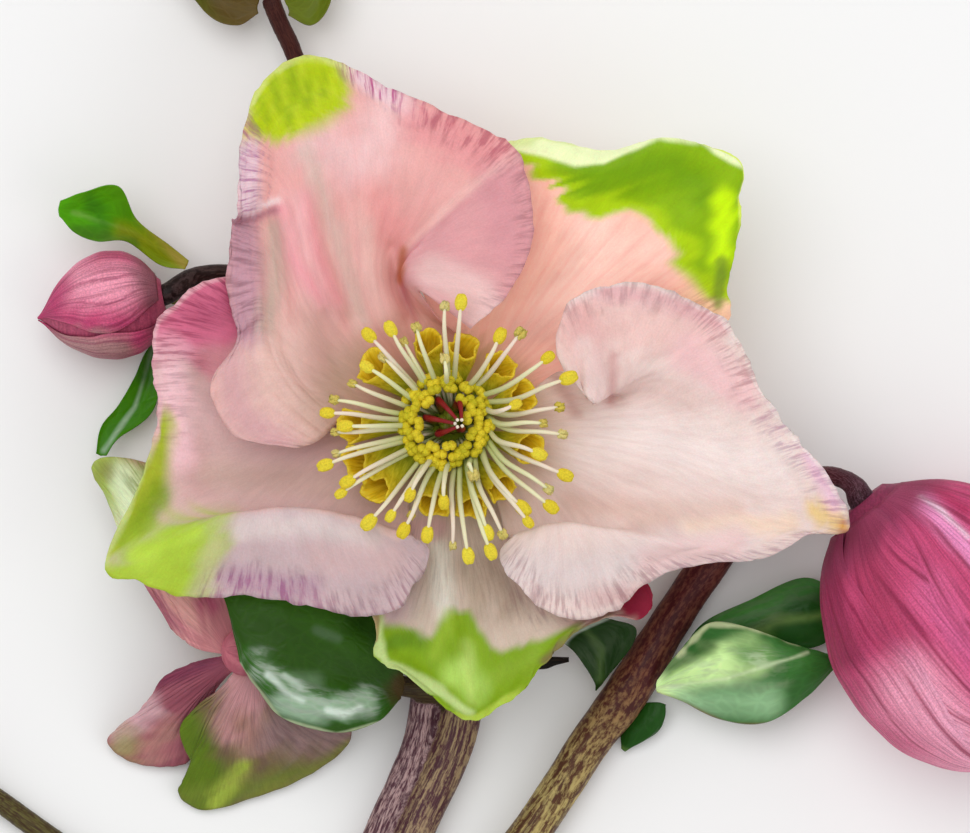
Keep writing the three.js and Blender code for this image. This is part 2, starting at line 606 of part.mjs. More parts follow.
function budFrame(bud) {
  const axis = vector(bud.tip).sub(vector(bud.base));
  const heading = axis.clone().normalize();
  const side = heading.clone().cross(new THREE.Vector3(0, 0, 1)).normalize();
  const up = side.clone().cross(heading);
  return (share, angle, extra) => {
    const width = profileWidth(bud.profile, share) + extra;
    return vector(bud.base).addScaledVector(axis, share)
      .addScaledVector(side, width * Math.cos(angle))
      .addScaledVector(up, width * Math.sin(angle) * bud.flatten);
  };
}

// A sepal of a bud wraps part of it, narrow at its foot and at its point.
function budSepal(bud, place, [middle, cover, overlap]) {
  const SINK = 0.5;
  const grids = [overlap, -SINK].map((extra) => {
    const grid = [];
    for (let i = 0; i <= bud.columns; i += 1) {
      const line = [];
      for (let j = 0; j <= bud.rows; j += 1) {
        const share = 0.03 + 0.95 * j / bud.rows;
        const spread = cover * (0.55 + 0.45 * Math.sin(Math.PI * Math.min(1, share * 1.1)));
        const angle = degrees(middle + spread * (2 * i / bud.columns - 1));
        line.push(place(share, angle, Math.max(extra, 0.1 - profileWidth(bud.profile, share))));
      }
      grid.push(line);
    }
    return grid;
  });
  return closeGrids(grids[0], grids[1]);
}

function budCore(bud, place) {
  const sides = 8;
  const rings = 6;
  const vertices = [];
  const triangles = [];
  for (let j = 0; j <= rings; j += 1) {
    for (let m = 0; m < sides; m += 1) {
      vertices.push(place(j / rings, 2 * Math.PI * m / sides, -0.12));
    }
  }
  for (let j = 0; j < rings; j += 1) {
    for (let m = 0; m < sides; m += 1) {
      const [a, b] = [j * sides + m, j * sides + (m + 1) % sides];
      triangles.push(a, b + sides, b, a, a + sides, b + sides);
    }
  }
  const start = vertices.length;
  vertices.push(vector(bud.base), vector(bud.tip));
  for (let m = 0; m < sides; m += 1) {
    const next = (m + 1) % sides;
    triangles.push(start, m, next);
    triangles.push(start + 1, rings * sides + next, rings * sides + m);
  }
  return indexed(vertices, triangles);
}

for (const bud of BUDS) {
  const place = budFrame(bud);
  const pieces = bud.sepals.map((sepal) => budSepal(bud, place, sepal));
  addPart(bud.name, fuseOnSurface([budCore(bud, place), ...pieces]), BUD);
}

// ---------------------------------------------------------------- bracts
// Each ring crosses the leaf, from its foot to its point.
const BRACTS = {
  bract_centre: [
    [[-4.6, -26, 6], [-4.7, -26.4, 5.9], [-4.8, -26.8, 5.8], [-4.9, -27.2, 5.9], [-5, -27.6, 6.2]],
    [[-5.6, -22.5, 9], [-6.4, -24.5, 8.6], [-7.3, -26.4, 8.4], [-7.4, -28.4, 8.4],
      [-7.4, -29.9, 7.6]],
    [[-9.5, -17.5, 11.6], [-10.2, -21, 11.8], [-11.5, -24.9, 11.4], [-11.7, -28, 11.6],
      [-11.5, -30.9, 9.6]],
    [[-15.5, -14, 12.2], [-15.7, -18.5, 12.8], [-16.2, -23.5, 12.8], [-16.6, -27, 12.4],
      [-16.8, -29.4, 10]],
    [[-20.5, -13.5, 12], [-20.3, -17.5, 12.9], [-20, -22.5, 12.9], [-19.6, -25, 12.2],
      [-19.4, -26.4, 11]],
    [[-23.4, -15.5, 12], [-22.8, -17, 12.4], [-22.2, -18.8, 12.6], [-21.7, -21, 12.2],
      [-21.1, -23.8, 11.4]],
  ],
  bract_right_front: [
    [[20.9, -27, 4.6], [20.8, -26.8, 4.5], [20.8, -26.5, 4.4], [20.8, -26.2, 4.5],
      [20.9, -25.8, 4.6]],
    [[23.4, -27.9, 4.2], [23.1, -26.6, 5.2], [22.9, -25.2, 4.6], [22.8, -24.2, 5.4],
      [22.8, -23.2, 6]],
    [[27.5, -29.8, 3.8], [27.2, -26.8, 6.4], [26.8, -23.7, 5.4], [26.3, -21.8, 6.6],
      [26, -20, 7.2]],
    [[32, -30, 4.4], [31.8, -26.8, 6.8], [31.5, -23.6, 6.2], [30.8, -22, 6.4], [30, -20.4, 7]],
    [[36, -27.4, 5], [35.8, -25.6, 6.2], [35.3, -23.6, 6.4], [35, -22.8, 6.2], [34.6, -22.1, 5.8]],
    [[38.9, -24.5, 4.4], [38.8, -24.2, 4.5], [38.7, -23.9, 4.6], [38.6, -23.6, 4.6],
      [38.4, -23.2, 4.6]],
  ],
  bract_right_back: [
    [[22.2, -26.2, 2.6], [22.3, -25.9, 2.6], [22.4, -25.6, 2.6], [22.5, -25.3, 2.6],
      [22.6, -25, 2.6]],
    [[26.4, -25, 2.2], [26.2, -23.8, 2.6], [26, -22.6, 2.7], [25.6, -21.5, 2.6], [25.2, -20.4, 2.2]],
    [[32, -23, 2.4], [31.6, -21.4, 2.9], [31, -20, 3], [30.6, -18.8, 2.9], [30.2, -17.8, 2.4]],
    [[37.2, -22.4, 2], [37, -20.6, 2.6], [36.8, -18.8, 2.8], [36.4, -17, 2.6], [36, -15.5, 2]],
    [[40.6, -20, 0.9], [40.6, -19.5, 1], [40.6, -19, 1.1], [40.6, -18.5, 1], [40.5, -18, 0.9]],
  ],
  bract_right_left: [
    [[15.9, -25.3, 2.6], [15.6, -25.7, 2.5], [15.3, -26.1, 2.4], [15, -26.5, 2.5], [14.7, -26.9, 2.6]],
    [[16.9, -24.2, 3.4], [16.4, -24.6, 3.2], [15.8, -25.1, 2.8], [15.2, -25.6, 3], [14.6, -26.1, 3.2]],
    [[18.4, -22.2, 4.8], [17.2, -22.4, 4.2], [15.8, -22.9, 3.4], [14.6, -23.6, 3.8],
      [13.6, -24.4, 4.2]],
    [[18.6, -20.4, 5.4], [16.8, -20.5, 5], [15, -21.2, 4.2], [13.6, -22, 4.4], [12.5, -22.9, 4.8]],
    [[15.6, -19.5, 5.4], [14.4, -20, 5], [13.2, -20.6, 4.6], [12.2, -21.2, 4.6], [11.4, -22, 4.8]],
  ],
  bract_right_low: [
    [[20.2, -28.5, 2.4], [20.6, -28.3, 2.5], [21, -28.2, 2.5], [21.4, -28.2, 2.5], [21.8, -28.3, 2.4]],
    [[19.2, -29.8, 2.1], [19.8, -29.8, 2.4], [20.4, -29.8, 2.4], [21, -29.8, 2.3], [21.7, -29.6, 2]],
    [[18.2, -31.2, 1.4], [18.8, -31.5, 1.7], [19.4, -31.7, 1.7], [20.1, -31.6, 1.6],
      [20.9, -31.2, 1.4]],
    [[17.3, -32.8, 0.8], [17.5, -33, 0.8], [17.7, -33.1, 0.8], [17.9, -33, 0.8], [18.2, -32.8, 0.8]],
  ],
  bract_left_upper: [
    [[-26.4, 16.6, 5], [-26.5, 16.3, 5], [-26.6, 16.1, 5], [-26.7, 15.9, 5], [-26.8, 15.7, 5]],
    [[-28.4, 18.2, 5], [-28.7, 17.5, 4.8], [-29, 16.9, 4.6], [-29.2, 16.5, 4.6], [-29.4, 16.2, 4.7]],
    [[-31.6, 20.7, 6], [-32, 19.9, 5.6], [-32.3, 19.3, 5.4], [-32.5, 18.8, 5.4],
      [-32.6, 18.5, 5.6]],
    [[-33.4, 24, 8], [-34.3, 22.3, 6.8], [-35, 20.9, 6], [-35.4, 19.6, 5.8], [-35.6, 18.5, 5.8]],
    [[-37, 23.4, 8.4], [-37.4, 22.6, 7.6], [-37.7, 21.6, 6.8], [-37.8, 20.6, 6.4],
      [-37.9, 19.4, 6.2]],
    [[-39.3, 22.5, 7.6], [-39.4, 22.2, 7.4], [-39.5, 21.9, 7.2], [-39.5, 21.5, 7],
      [-39.4, 21.1, 6.8]],
  ],
  bract_left_small: [
    [[-26.9, 14, 1.7], [-26.6, 14, 1.6], [-26.3, 14, 1.5], [-26, 14, 1.6], [-25.7, 14, 1.7]],
    [[-28.2, 13.2, 1.6], [-27.6, 13.1, 1.4], [-27, 13, 1.3], [-26.4, 13.1, 1.4], [-25.8, 13.2, 1.6]],
    [[-28.6, 12.5, 1.4], [-28.3, 12.3, 1.3], [-28, 12.2, 1.2], [-27.7, 12.3, 1.3],
      [-27.4, 12.5, 1.4]],
  ],
  bract_left_lower: [
    [[-25.2, 12.8, 1.6], [-24.9, 12.9, 1.6], [-24.6, 13, 1.6], [-24.3, 13.1, 1.6], [-24, 13.2, 1.6]],
    [[-30.3, 8.2, 1.2], [-30, 8.3, 1.2], [-29.7, 8.4, 1.2], [-29.4, 8.5, 1.2], [-29.1, 8.6, 1.2]],
    [[-32, 4.8, 1.8], [-31.3, 4.6, 1.5], [-30.6, 4.4, 1.3], [-30, 4.2, 1.5], [-29.4, 4.1, 1.8]],
    [[-33.6, 2, 2.4], [-32.8, 1.8, 2.1], [-32, 1.5, 1.9], [-31.2, 1.2, 2.1], [-30.4, 1, 2.4]],
    [[-35.3, -0.2, 3], [-34.9, -0.4, 2.8], [-34.4, -0.7, 2.7], [-33.9, -1.1, 2.8],
      [-33.6, -1.4, 3]],
    [[-35.8, -2.9, 3.2], [-35.6, -3, 3.1], [-35.4, -3.1, 3.1], [-35.1, -3.1, 3.1],
      [-34.8, -3.1, 3.2]],
  ],
  bract_top_left: [
    [[-19.3, 42.9, 4], [-19.4, 42.6, 3.9], [-19.5, 42.3, 3.8], [-19.5, 42, 3.9], [-19.4, 41.6, 4]],
    [[-21.6, 44.6, 4.2], [-22, 43.6, 3.6], [-22.2, 42.6, 3.4], [-22, 41.5, 3.6], [-21.6, 40.4, 4.2]],
    [[-25.2, 47, 4.6], [-25.6, 45.8, 3.8], [-25.8, 44.6, 3.4], [-25.4, 43.2, 3.6], [-24.6, 41.6, 4.2]],
    [[-28.6, 48.6, 4], [-28.8, 48.2, 3.9], [-29, 47.8, 3.9], [-28.9, 47.4, 3.9], [-28.7, 47, 4]],
  ],
  bract_top_right: [
    [[-16.4, 41.4, 4], [-16.3, 41.8, 3.9], [-16.4, 42.2, 3.8], [-16.6, 42.5, 3.9], [-16.8, 42.9, 4]],
    [[-14, 40.4, 4.2], [-14.1, 41.3, 3.6], [-14.4, 42.3, 3.4], [-14.9, 43.2, 3.6],
      [-15.4, 44.2, 4.2]],
    [[-12.2, 42.6, 4.6], [-12.4, 43.8, 3.8], [-12.8, 45, 3.4], [-13.4, 46, 3.6], [-14.2, 46.8, 4.2]],
    [[-11.2, 47.6, 4], [-11.4, 47.9, 3.9], [-11.6, 48.1, 3.9], [-11.9, 48.2, 3.9], [-12.2, 48.3, 4]],
  ],
  bract_low: [
    [[-48.9, -37.6, 1.5], [-48.6, -37.9, 1.4], [-48.3, -38.2, 1.4], [-48, -38.5, 1.4],
      [-47.6, -38.8, 1.5]],
    [[-52.2, -37.6, 1.8], [-51.8, -38.5, 1.5], [-51.4, -39.4, 1.4], [-50.8, -40.2, 1.5],
      [-50, -41, 1.8]],
    [[-55.6, -40.4, 1.6], [-55.5, -40.8, 1.5], [-55.3, -41.2, 1.5], [-55, -41.5, 1.5],
      [-54.7, -41.8, 1.6]],
  ],
};

for (const [name, rings] of Object.entries(BRACTS)) {
  const grid = sheetGrid(rings, 6, 2 * (rings.length - 1));
  addPart(name, blade(grid, BRACT_THICKNESS), LEAF);
}

const DRY_BRACT = [
  [[3.74, -24.9, 1.9], [3.74, -24.5, 2.1], [3.74, -24.2, 2.2], [3.74, -23.9, 2.2],
    [3.74, -23.5, 2.1]],
  [[8.6, -24.8, 2], [8.6, -24.4, 2.3], [8.6, -24.1, 2.4], [8.6, -23.8, 2.4], [8.6, -23.5, 2.2]],
  [[12, -24, 2], [12, -23.9, 2], [12, -23.8, 2], [12, -23.7, 2], [12, -23.5, 2]],
];
addPart('bract_dry', blade(sheetGrid(DRY_BRACT, 4, 4), BRACT_THICKNESS), DRY_LEAF);

// ---------------------------------------------------------------- stem
// Every branch is [x, y, z, radius] from its foot to its end.
const BRANCHES = {
  scape: [[-24, -88, 3, 3.35], [-21.6, -82, 3, 3.2], [-18.6, -74, 2.9, 3.1], [-13.4, -61.5, 2.8, 3]],
  flower_stalk: [
    [-14.2, -64, 2.6, 2.4], [-8.6, -52, 2.2, 2.2], [-3.5, -40.8, 2.1, 2.05], [0.7, -31, 2.1, 2.1],
    [1.6, -22, 2.1, 2.1], [1.2, -12, 2, 2.05], [0.4, -5, 2, 2.1], [0.05, -1.2, 1.95, 2.4],
    [0, 1.3, 1.95, 2.45], [0, 3.3, 4.2, 2.2], [0, 3, 7.4, 1.9], [0, 1, 10.4, 2],
    [0, 0, 12.2, 2.4], [0, 0, 13.5, 2.6],
  ],
  left_stalk: [
    [-16, -64, 2.4, 2], [-12.4, -53, 1.6, 1.6], [-7.1, -40.8, 1.5, 1.5], [-3.2, -31, 1.45, 1.45],
    [-2.6, -20, 1.4, 1.4], [-6.5, -8, 1.3, 1.25], [-11, 4, 1.6, 1.2], [-14.5, 12, 1.9, 1.2],
    [-15.3, 22, 1.8, 1.1], [-15.3, 31, 2.2, 1], [-15.5, 36.5, 2.8, 0.95], [-17.4, 41, 3.4, 1],
    [-18.3, 43.3, 3.8, 1],
  ],
  left_bud_stalk: [
    [-13.9, 10.6, 1.8, 1], [-18, 14.4, 2, 1], [-22.5, 15.3, 2.8, 1], [-26, 14.9, 3.6, 1.05],
    [-28.3, 13.4, 4.8, 1.15],
  ],
  right_stalk: [
    [-20.4, -78.5, 2.7, 2.6], [-12, -67, 2.1, 2.2], [-1.5, -54, 2, 2.05], [8.4, -40.8, 2, 2.05],
    [14.2, -32, 2, 2.1], [18.2, -26.6, 2.1, 2.3], [22.2, -20, 2, 2], [26.4, -13.8, 2.1, 1.95],
    [30.5, -8.6, 3.2, 1.6], [34.4, -5.8, 6, 1.25], [38, -5.1, 9, 1.05], [40.4, -5.9, 10.6, 1.05],
    [41.1, -7.1, 10.7, 1.4],
  ],
  low_bud_stalk: [
    [-13, -61, 2.4, 1.6], [-20, -56.5, 1.6, 1.4], [-30, -49.3, 1.2, 1.25], [-42, -40.8, 1.2, 1.2],
    [-46.6, -37.4, 1.8, 1.1], [-49, -35.7, 2.5, 0.9],
  ],
  side_flower_stalk: [
    [1, -27, 2.4, 1.3], [-4.8, -26.4, 4, 1.1], [-9, -25.4, 6.4, 1.05], [-13.4, -24.3, 8.6, 1.05],
    [-17.4, -23.4, 10, 1.05], [-20.2, -22.9, 9.9, 1.4],
  ],
};
const RING_SPACING = 5;          // steps along a branch from ring to ring
const STEM_SIDES = 8;

function branch(stations) {
  const length = spline(stations.map(vector)).getLength();
  const rings = Math.max(stations.length - 1, Math.round(length / RING_SPACING));
  return tube(stations, STEM_SIDES, rings);
}

const sideReceptacle = ball(SIDE_RING.x, SIDE_RING.y, 9.1, 1.75, 10, 0.9);
const branches = Object.values(BRANCHES).map(branch);
addPart('stem', fuseOnSurface([...branches, sideReceptacle]), STEM);

export default model;
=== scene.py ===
"""A cut hellebore stem lying on a pale surface, dressed round its solid frame.

Control points are in steps of 1.1 mm from the flat spot of the stem under the open
flower, +Z up. Every piece is built in metres in the frame's own place.
"""
import math

import bpy
import numpy as np
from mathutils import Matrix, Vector
from mathutils.kdtree import KDTree


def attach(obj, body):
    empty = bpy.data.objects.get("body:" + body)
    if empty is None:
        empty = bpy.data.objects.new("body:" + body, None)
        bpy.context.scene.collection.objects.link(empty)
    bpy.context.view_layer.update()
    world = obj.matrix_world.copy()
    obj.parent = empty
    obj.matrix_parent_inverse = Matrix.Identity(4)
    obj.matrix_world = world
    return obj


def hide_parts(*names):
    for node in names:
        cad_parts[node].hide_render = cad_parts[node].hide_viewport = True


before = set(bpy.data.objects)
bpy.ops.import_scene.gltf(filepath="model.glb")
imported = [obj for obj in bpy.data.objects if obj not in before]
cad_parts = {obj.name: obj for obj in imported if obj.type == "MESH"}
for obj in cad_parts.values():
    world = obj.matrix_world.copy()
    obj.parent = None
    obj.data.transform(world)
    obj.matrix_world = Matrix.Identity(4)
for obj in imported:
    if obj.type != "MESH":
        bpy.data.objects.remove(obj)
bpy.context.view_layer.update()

STEP = 0.0011                # metres
UP = (0.0, 0.0, 1.0)
FLOWER_HEIGHT = 13.5         # steps from the surface to the open flower's sepal ring
SEPAL_RING_RADIUS = 3.0
SIDE_RING = (-20.6, -22.8, 8.2)
SIDE_RING_RADIUS = 2.3
SHEET_THICKNESS = 0.32       # steps, at the middle of a sepal or leaf
EDGE_THICKNESS = 0.12        # steps, at its rim
BASE_RAGGED = 0.6            # steps by which the paint of a foot ends unevenly
GOLDEN_ANGLE = 137.5         # degrees from each stamen of a crowd to the next

# The first number of each group's own run of random shapes.
SEEDS = {"sepals": 1, "side_sepals": 11, "buds": 30, "bracts": 50, "dry_bract": 70,
         "crown": 100, "side_stamens": 200}


# ---------------------------------------------------------------- curves and noise
def spline(points, shares):
    """Points on a uniform Catmull-Rom curve through `points`, at shares of its length."""
    points = np.asarray(points, float)
    path = np.array([2 * points[0] - points[1], *points, 2 * points[-1] - points[-2]])
    place = np.clip(np.asarray(shares, float), 0, 1) * (len(points) - 1)
    first = np.minimum(place.astype(int), len(points) - 2)
    t = (place - first)[:, None]
    p0, p1, p2, p3 = (path[first + k] for k in range(4))
    return 0.5 * (2 * p1 + (p2 - p0) * t + (2 * p0 - 5 * p1 + 4 * p2 - p3) * t**2
                  + (3 * p1 - p0 - 3 * p2 + p3) * t**3)


def smooth(low, high, value):
    """0 below `low`, 1 above `high`, and smooth between them."""
    t = np.clip((value - low) / (high - low), 0, 1)
    return t * t * (3 - 2 * t)


def lattice(i, j, seed):
    """A repeatable random number from 0 to 1 for each pair of whole numbers."""
    mixed = np.sin(i * 127.1 + j * 311.7 + seed * 74.7) * 43758.5453
    return mixed - np.floor(mixed)


def ripple(u, v, seed):
    """Smooth noise from -1 to 1 with features one unit wide."""
    i, j = np.floor(u), np.floor(v)
    a, b = smooth(0, 1, u - i), smooth(0, 1, v - j)
    low = lattice(i, j, seed) * (1 - a) + lattice(i + 1, j, seed) * a
    high = lattice(i, j + 1, seed) * (1 - a) + lattice(i + 1, j + 1, seed) * a
    return 2 * (low * (1 - b) + high * b) - 1


def unit(vectors):
    """The same directions at length 1."""
    return vectors / np.maximum(np.linalg.norm(vectors, axis=-1, keepdims=True), 1e-9)


def all_round(sides):
    """Angles of evenly spaced points round a circle."""
    return 2 * np.pi * np.arange(sides) / sides


def base_arc(centre, radius, start, end):
    """Where a sepal stands on the ring of its flower, between two angles in degrees."""
    angles = np.radians(np.linspace(start, end, 5))
    return [(centre[0] + radius * math.cos(a), centre[1] + radius * math.sin(a), centre[2])
            for a in angles]


# ---------------------------------------------------------------- meshes
def add_object(name, data):
    """A new object in the scene, for a mesh, a light or a camera."""
    obj = bpy.data.objects.new(name, data)
    bpy.context.scene.collection.objects.link(obj)
    return obj


def add_field(mesh, key, values):
    """A point attribute: four numbers make a colour, three a vector."""
    kind, slot = (("FLOAT_COLOR", "color") if values.shape[1] == 4
                  else ("FLOAT_VECTOR", "vector"))
    mesh.attributes.new(key, kind, "POINT").data.foreach_set(slot, values.ravel())


def make_mesh(name, material, vertices, faces, fields):
    """A smooth mesh object in metres; `fields` are point attributes, colours or vectors."""
    mesh = bpy.data.meshes.new(name)
    mesh.from_pydata((vertices * STEP).tolist(), [], faces)
    for key, values in fields.items():
        add_field(mesh, key, values)
    mesh.materials.append(material)
    mesh.validate()
    mesh.polygons.foreach_set("use_smooth", [True] * len(mesh.polygons))
    return add_object(name, mesh)


def declare(obj, slot, *nodes):
    """The piece rides with the plant and stands for these nodes."""
    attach(obj, "root")
    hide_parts(*nodes)


def side_faces(count, sides):
    """Faces between `count` rings of points, each with as many sides."""
    faces = []
    for k in range(count - 1):
        for m in range(sides):
            a, b = k * sides + m, k * sides + (m + 1) % sides
            faces.append((a, b, b + sides, a + sides))
    return faces


def closed_faces(count, sides):
    """The same, closed by a point at each end that comes after the rings."""
    faces = side_faces(count, sides)
    start, last = count * sides, (count - 1) * sides
    for m in range(sides):
        following = (m + 1) % sides
        faces.append((start, following, m))
        faces.append((start + 1, last + m, last + following))
    return faces


def sheet_faces(columns, rows):
    """Both sides and the rim of a closed sheet of `columns` by `rows` points."""
    back, top, end = columns * rows, rows - 1, (columns - 1) * rows
    faces, edges = [], []
    for i in range(columns - 1):
        for j in range(rows - 1):
            a, b, c, d = (i * rows + j + k for k in (0, rows, rows + 1, 1))
            faces.append((a, d, c, b))
            faces.append((a + back, b + back, c + back, d + back))
    for i in range(0, end, rows):
        edges += [(i, i + rows), (i + rows + top, i + top)]
    for j in range(top):
        edges += [(end + j, end + j + 1), (j + 1, j)]
    return faces + [(a, b, b + back, a + back) for a, b in edges]


def tube(stations, sides, rings, sway, seed):
    """Vertices and faces of a closed tube; stations are x, y, z, radius."""
    stations = np.asarray(stations, float)
    shares = np.linspace(0, 1, rings + 1)
    path, radius = spline(stations[:, :3], shares), spline(stations[:, 3:], shares)[:, 0]
    heading = unit(np.gradient(path, axis=0))
    side = np.cross(heading[0], UP)
    if np.linalg.norm(side) < 1e-6:
        side = np.array([1.0, 0.0, 0.0])
    turns = 2 * np.pi * (np.arange(sides) + 0.5) / sides
    vertices = []
    for k in range(rings + 1):
        side = unit(side - heading[k] * side.dot(heading[k]))
        up = np.cross(heading[k], side)
        reach = radius[k] * (1 + sway * ripple(turns * 1.3, k * 0.35, seed))
        vertices.append(path[k] + reach[:, None] * (np.cos(turns)[:, None] * side
                                                    + np.sin(turns)[:, None] * up))
    vertices = np.concatenate([*vertices, path[:1], path[-1:]])
    return vertices, closed_faces(rings + 1, sides)


def tube_shares(sides, rings):
    """How far along a tube each of its vertices lies, from 0 to 1."""
    return np.concatenate([np.repeat(np.linspace(0, 1, rings + 1), sides), [0, 1]])


def ball(centre, axis, length, width, sides, rings, bump=0.0, seed=0):
    """A closed oval body round an axis, its surface uneven by `bump`."""
    axis = unit(np.asarray(axis, float))
    side = unit(np.cross(axis, (0.31, 0.17, 0.93)))
    turns = all_round(sides)[:, None]
    outward = side * np.cos(turns) + np.cross(axis, side) * np.sin(turns)
    vertices = []
    for k in range(1, rings):
        polar = math.pi * k / rings
        grow = 1 + bump * ripple(3.1 * turns, 2.3 * polar, seed)
        vertices.append(grow * (outward * width * math.sin(polar)
                                - axis * length * math.cos(polar)))
    vertices = np.concatenate([*vertices, [-axis * length, axis * length]])
    return vertices + np.asarray(centre, float), closed_faces(rings - 1, sides)


class Parts:
    """Closed bodies gathered into one mesh, with their point attributes."""

    def __init__(self):
        self.vertices, self.faces, self.fields = [], [], {}
        self.count = 0

    def add(self, vertices, faces, **fields):
        """Adds a body; a field may be one value for all of its points."""
        self.faces += [tuple(k + self.count for k in face) for face in faces]
        self.vertices.append(vertices)
        self.count += len(vertices)
        for key, value in fields.items():
            if value.ndim == 1:
                value = np.tile(value, (len(vertices), 1))
            self.fields.setdefault(key, []).append(value)

    def add_ball(self, paint, streak, **shape):
        """Adds a `ball` of one colour, its grain laid out in space."""
        vertices, faces = ball(**shape)
        self.add(vertices, faces, paint=paint, streak=streak, flow=vertices)

    def build(self, name, material):
        fields = {key: np.concatenate(values) for key, values in self.fields.items()}
        return make_mesh(name, material, np.concatenate(self.vertices), self.faces, fields)


# ---------------------------------------------------------------- paint
def tint(code):
    """Linear red, green and blue of a #rrggbb colour."""
    channels = [int(code[k:k + 2], 16) / 255 for k in (1, 3, 5)]
    return np.array([c / 12.92 if c < 0.04045 else ((c + 0.055) / 1.055)**2.4 for c in channels])


def rgba(code, share=1.0):
    """The same, with how strong the colour is as a fourth number."""
    return np.array([*tint(code), share])


def between(first, second, share):
    """Colours from `first` to `second` for an array of shares."""
    share = np.asarray(share, float)[:, None]
    return first * (1 - share) + second * share


def to_path(x, y, path):
    """Distance from each (x, y) to a polyline, and the side it lies on: left is positive."""
    nearest, offset = np.full(x.shape, 1e9), np.zeros(x.shape)
    for (x0, y0), (x1, y1) in zip(path, path[1:]):
        dx, dy = x1 - x0, y1 - y0
        length = math.hypot(dx, dy)
        share = np.clip(((x - x0) * dx + (y - y0) * dy) / length**2, 0, 1)
        away = np.hypot(x - x0 - share * dx, y - y0 - share * dy)
        across = (dx * (y - y0) - dy * (x - x0)) / length
        # At a corner two stretches are equally near: the one that it lies further beside counts.
        tie = (away < nearest + 1e-6) & (abs(across) > abs(offset))
        closer = (away < nearest - 1e-6) | tie
        nearest, offset = np.where(closer, away, nearest), np.where(closer, across, offset)
    return nearest, np.sign(offset)


def share_grid(columns, rows):
    """Shares across and outward at the corners of so many columns and rows of faces."""
    return np.meshgrid(np.linspace(0, 1, columns + 1), np.linspace(0, 1, rows + 1),
                       indexing="ij")


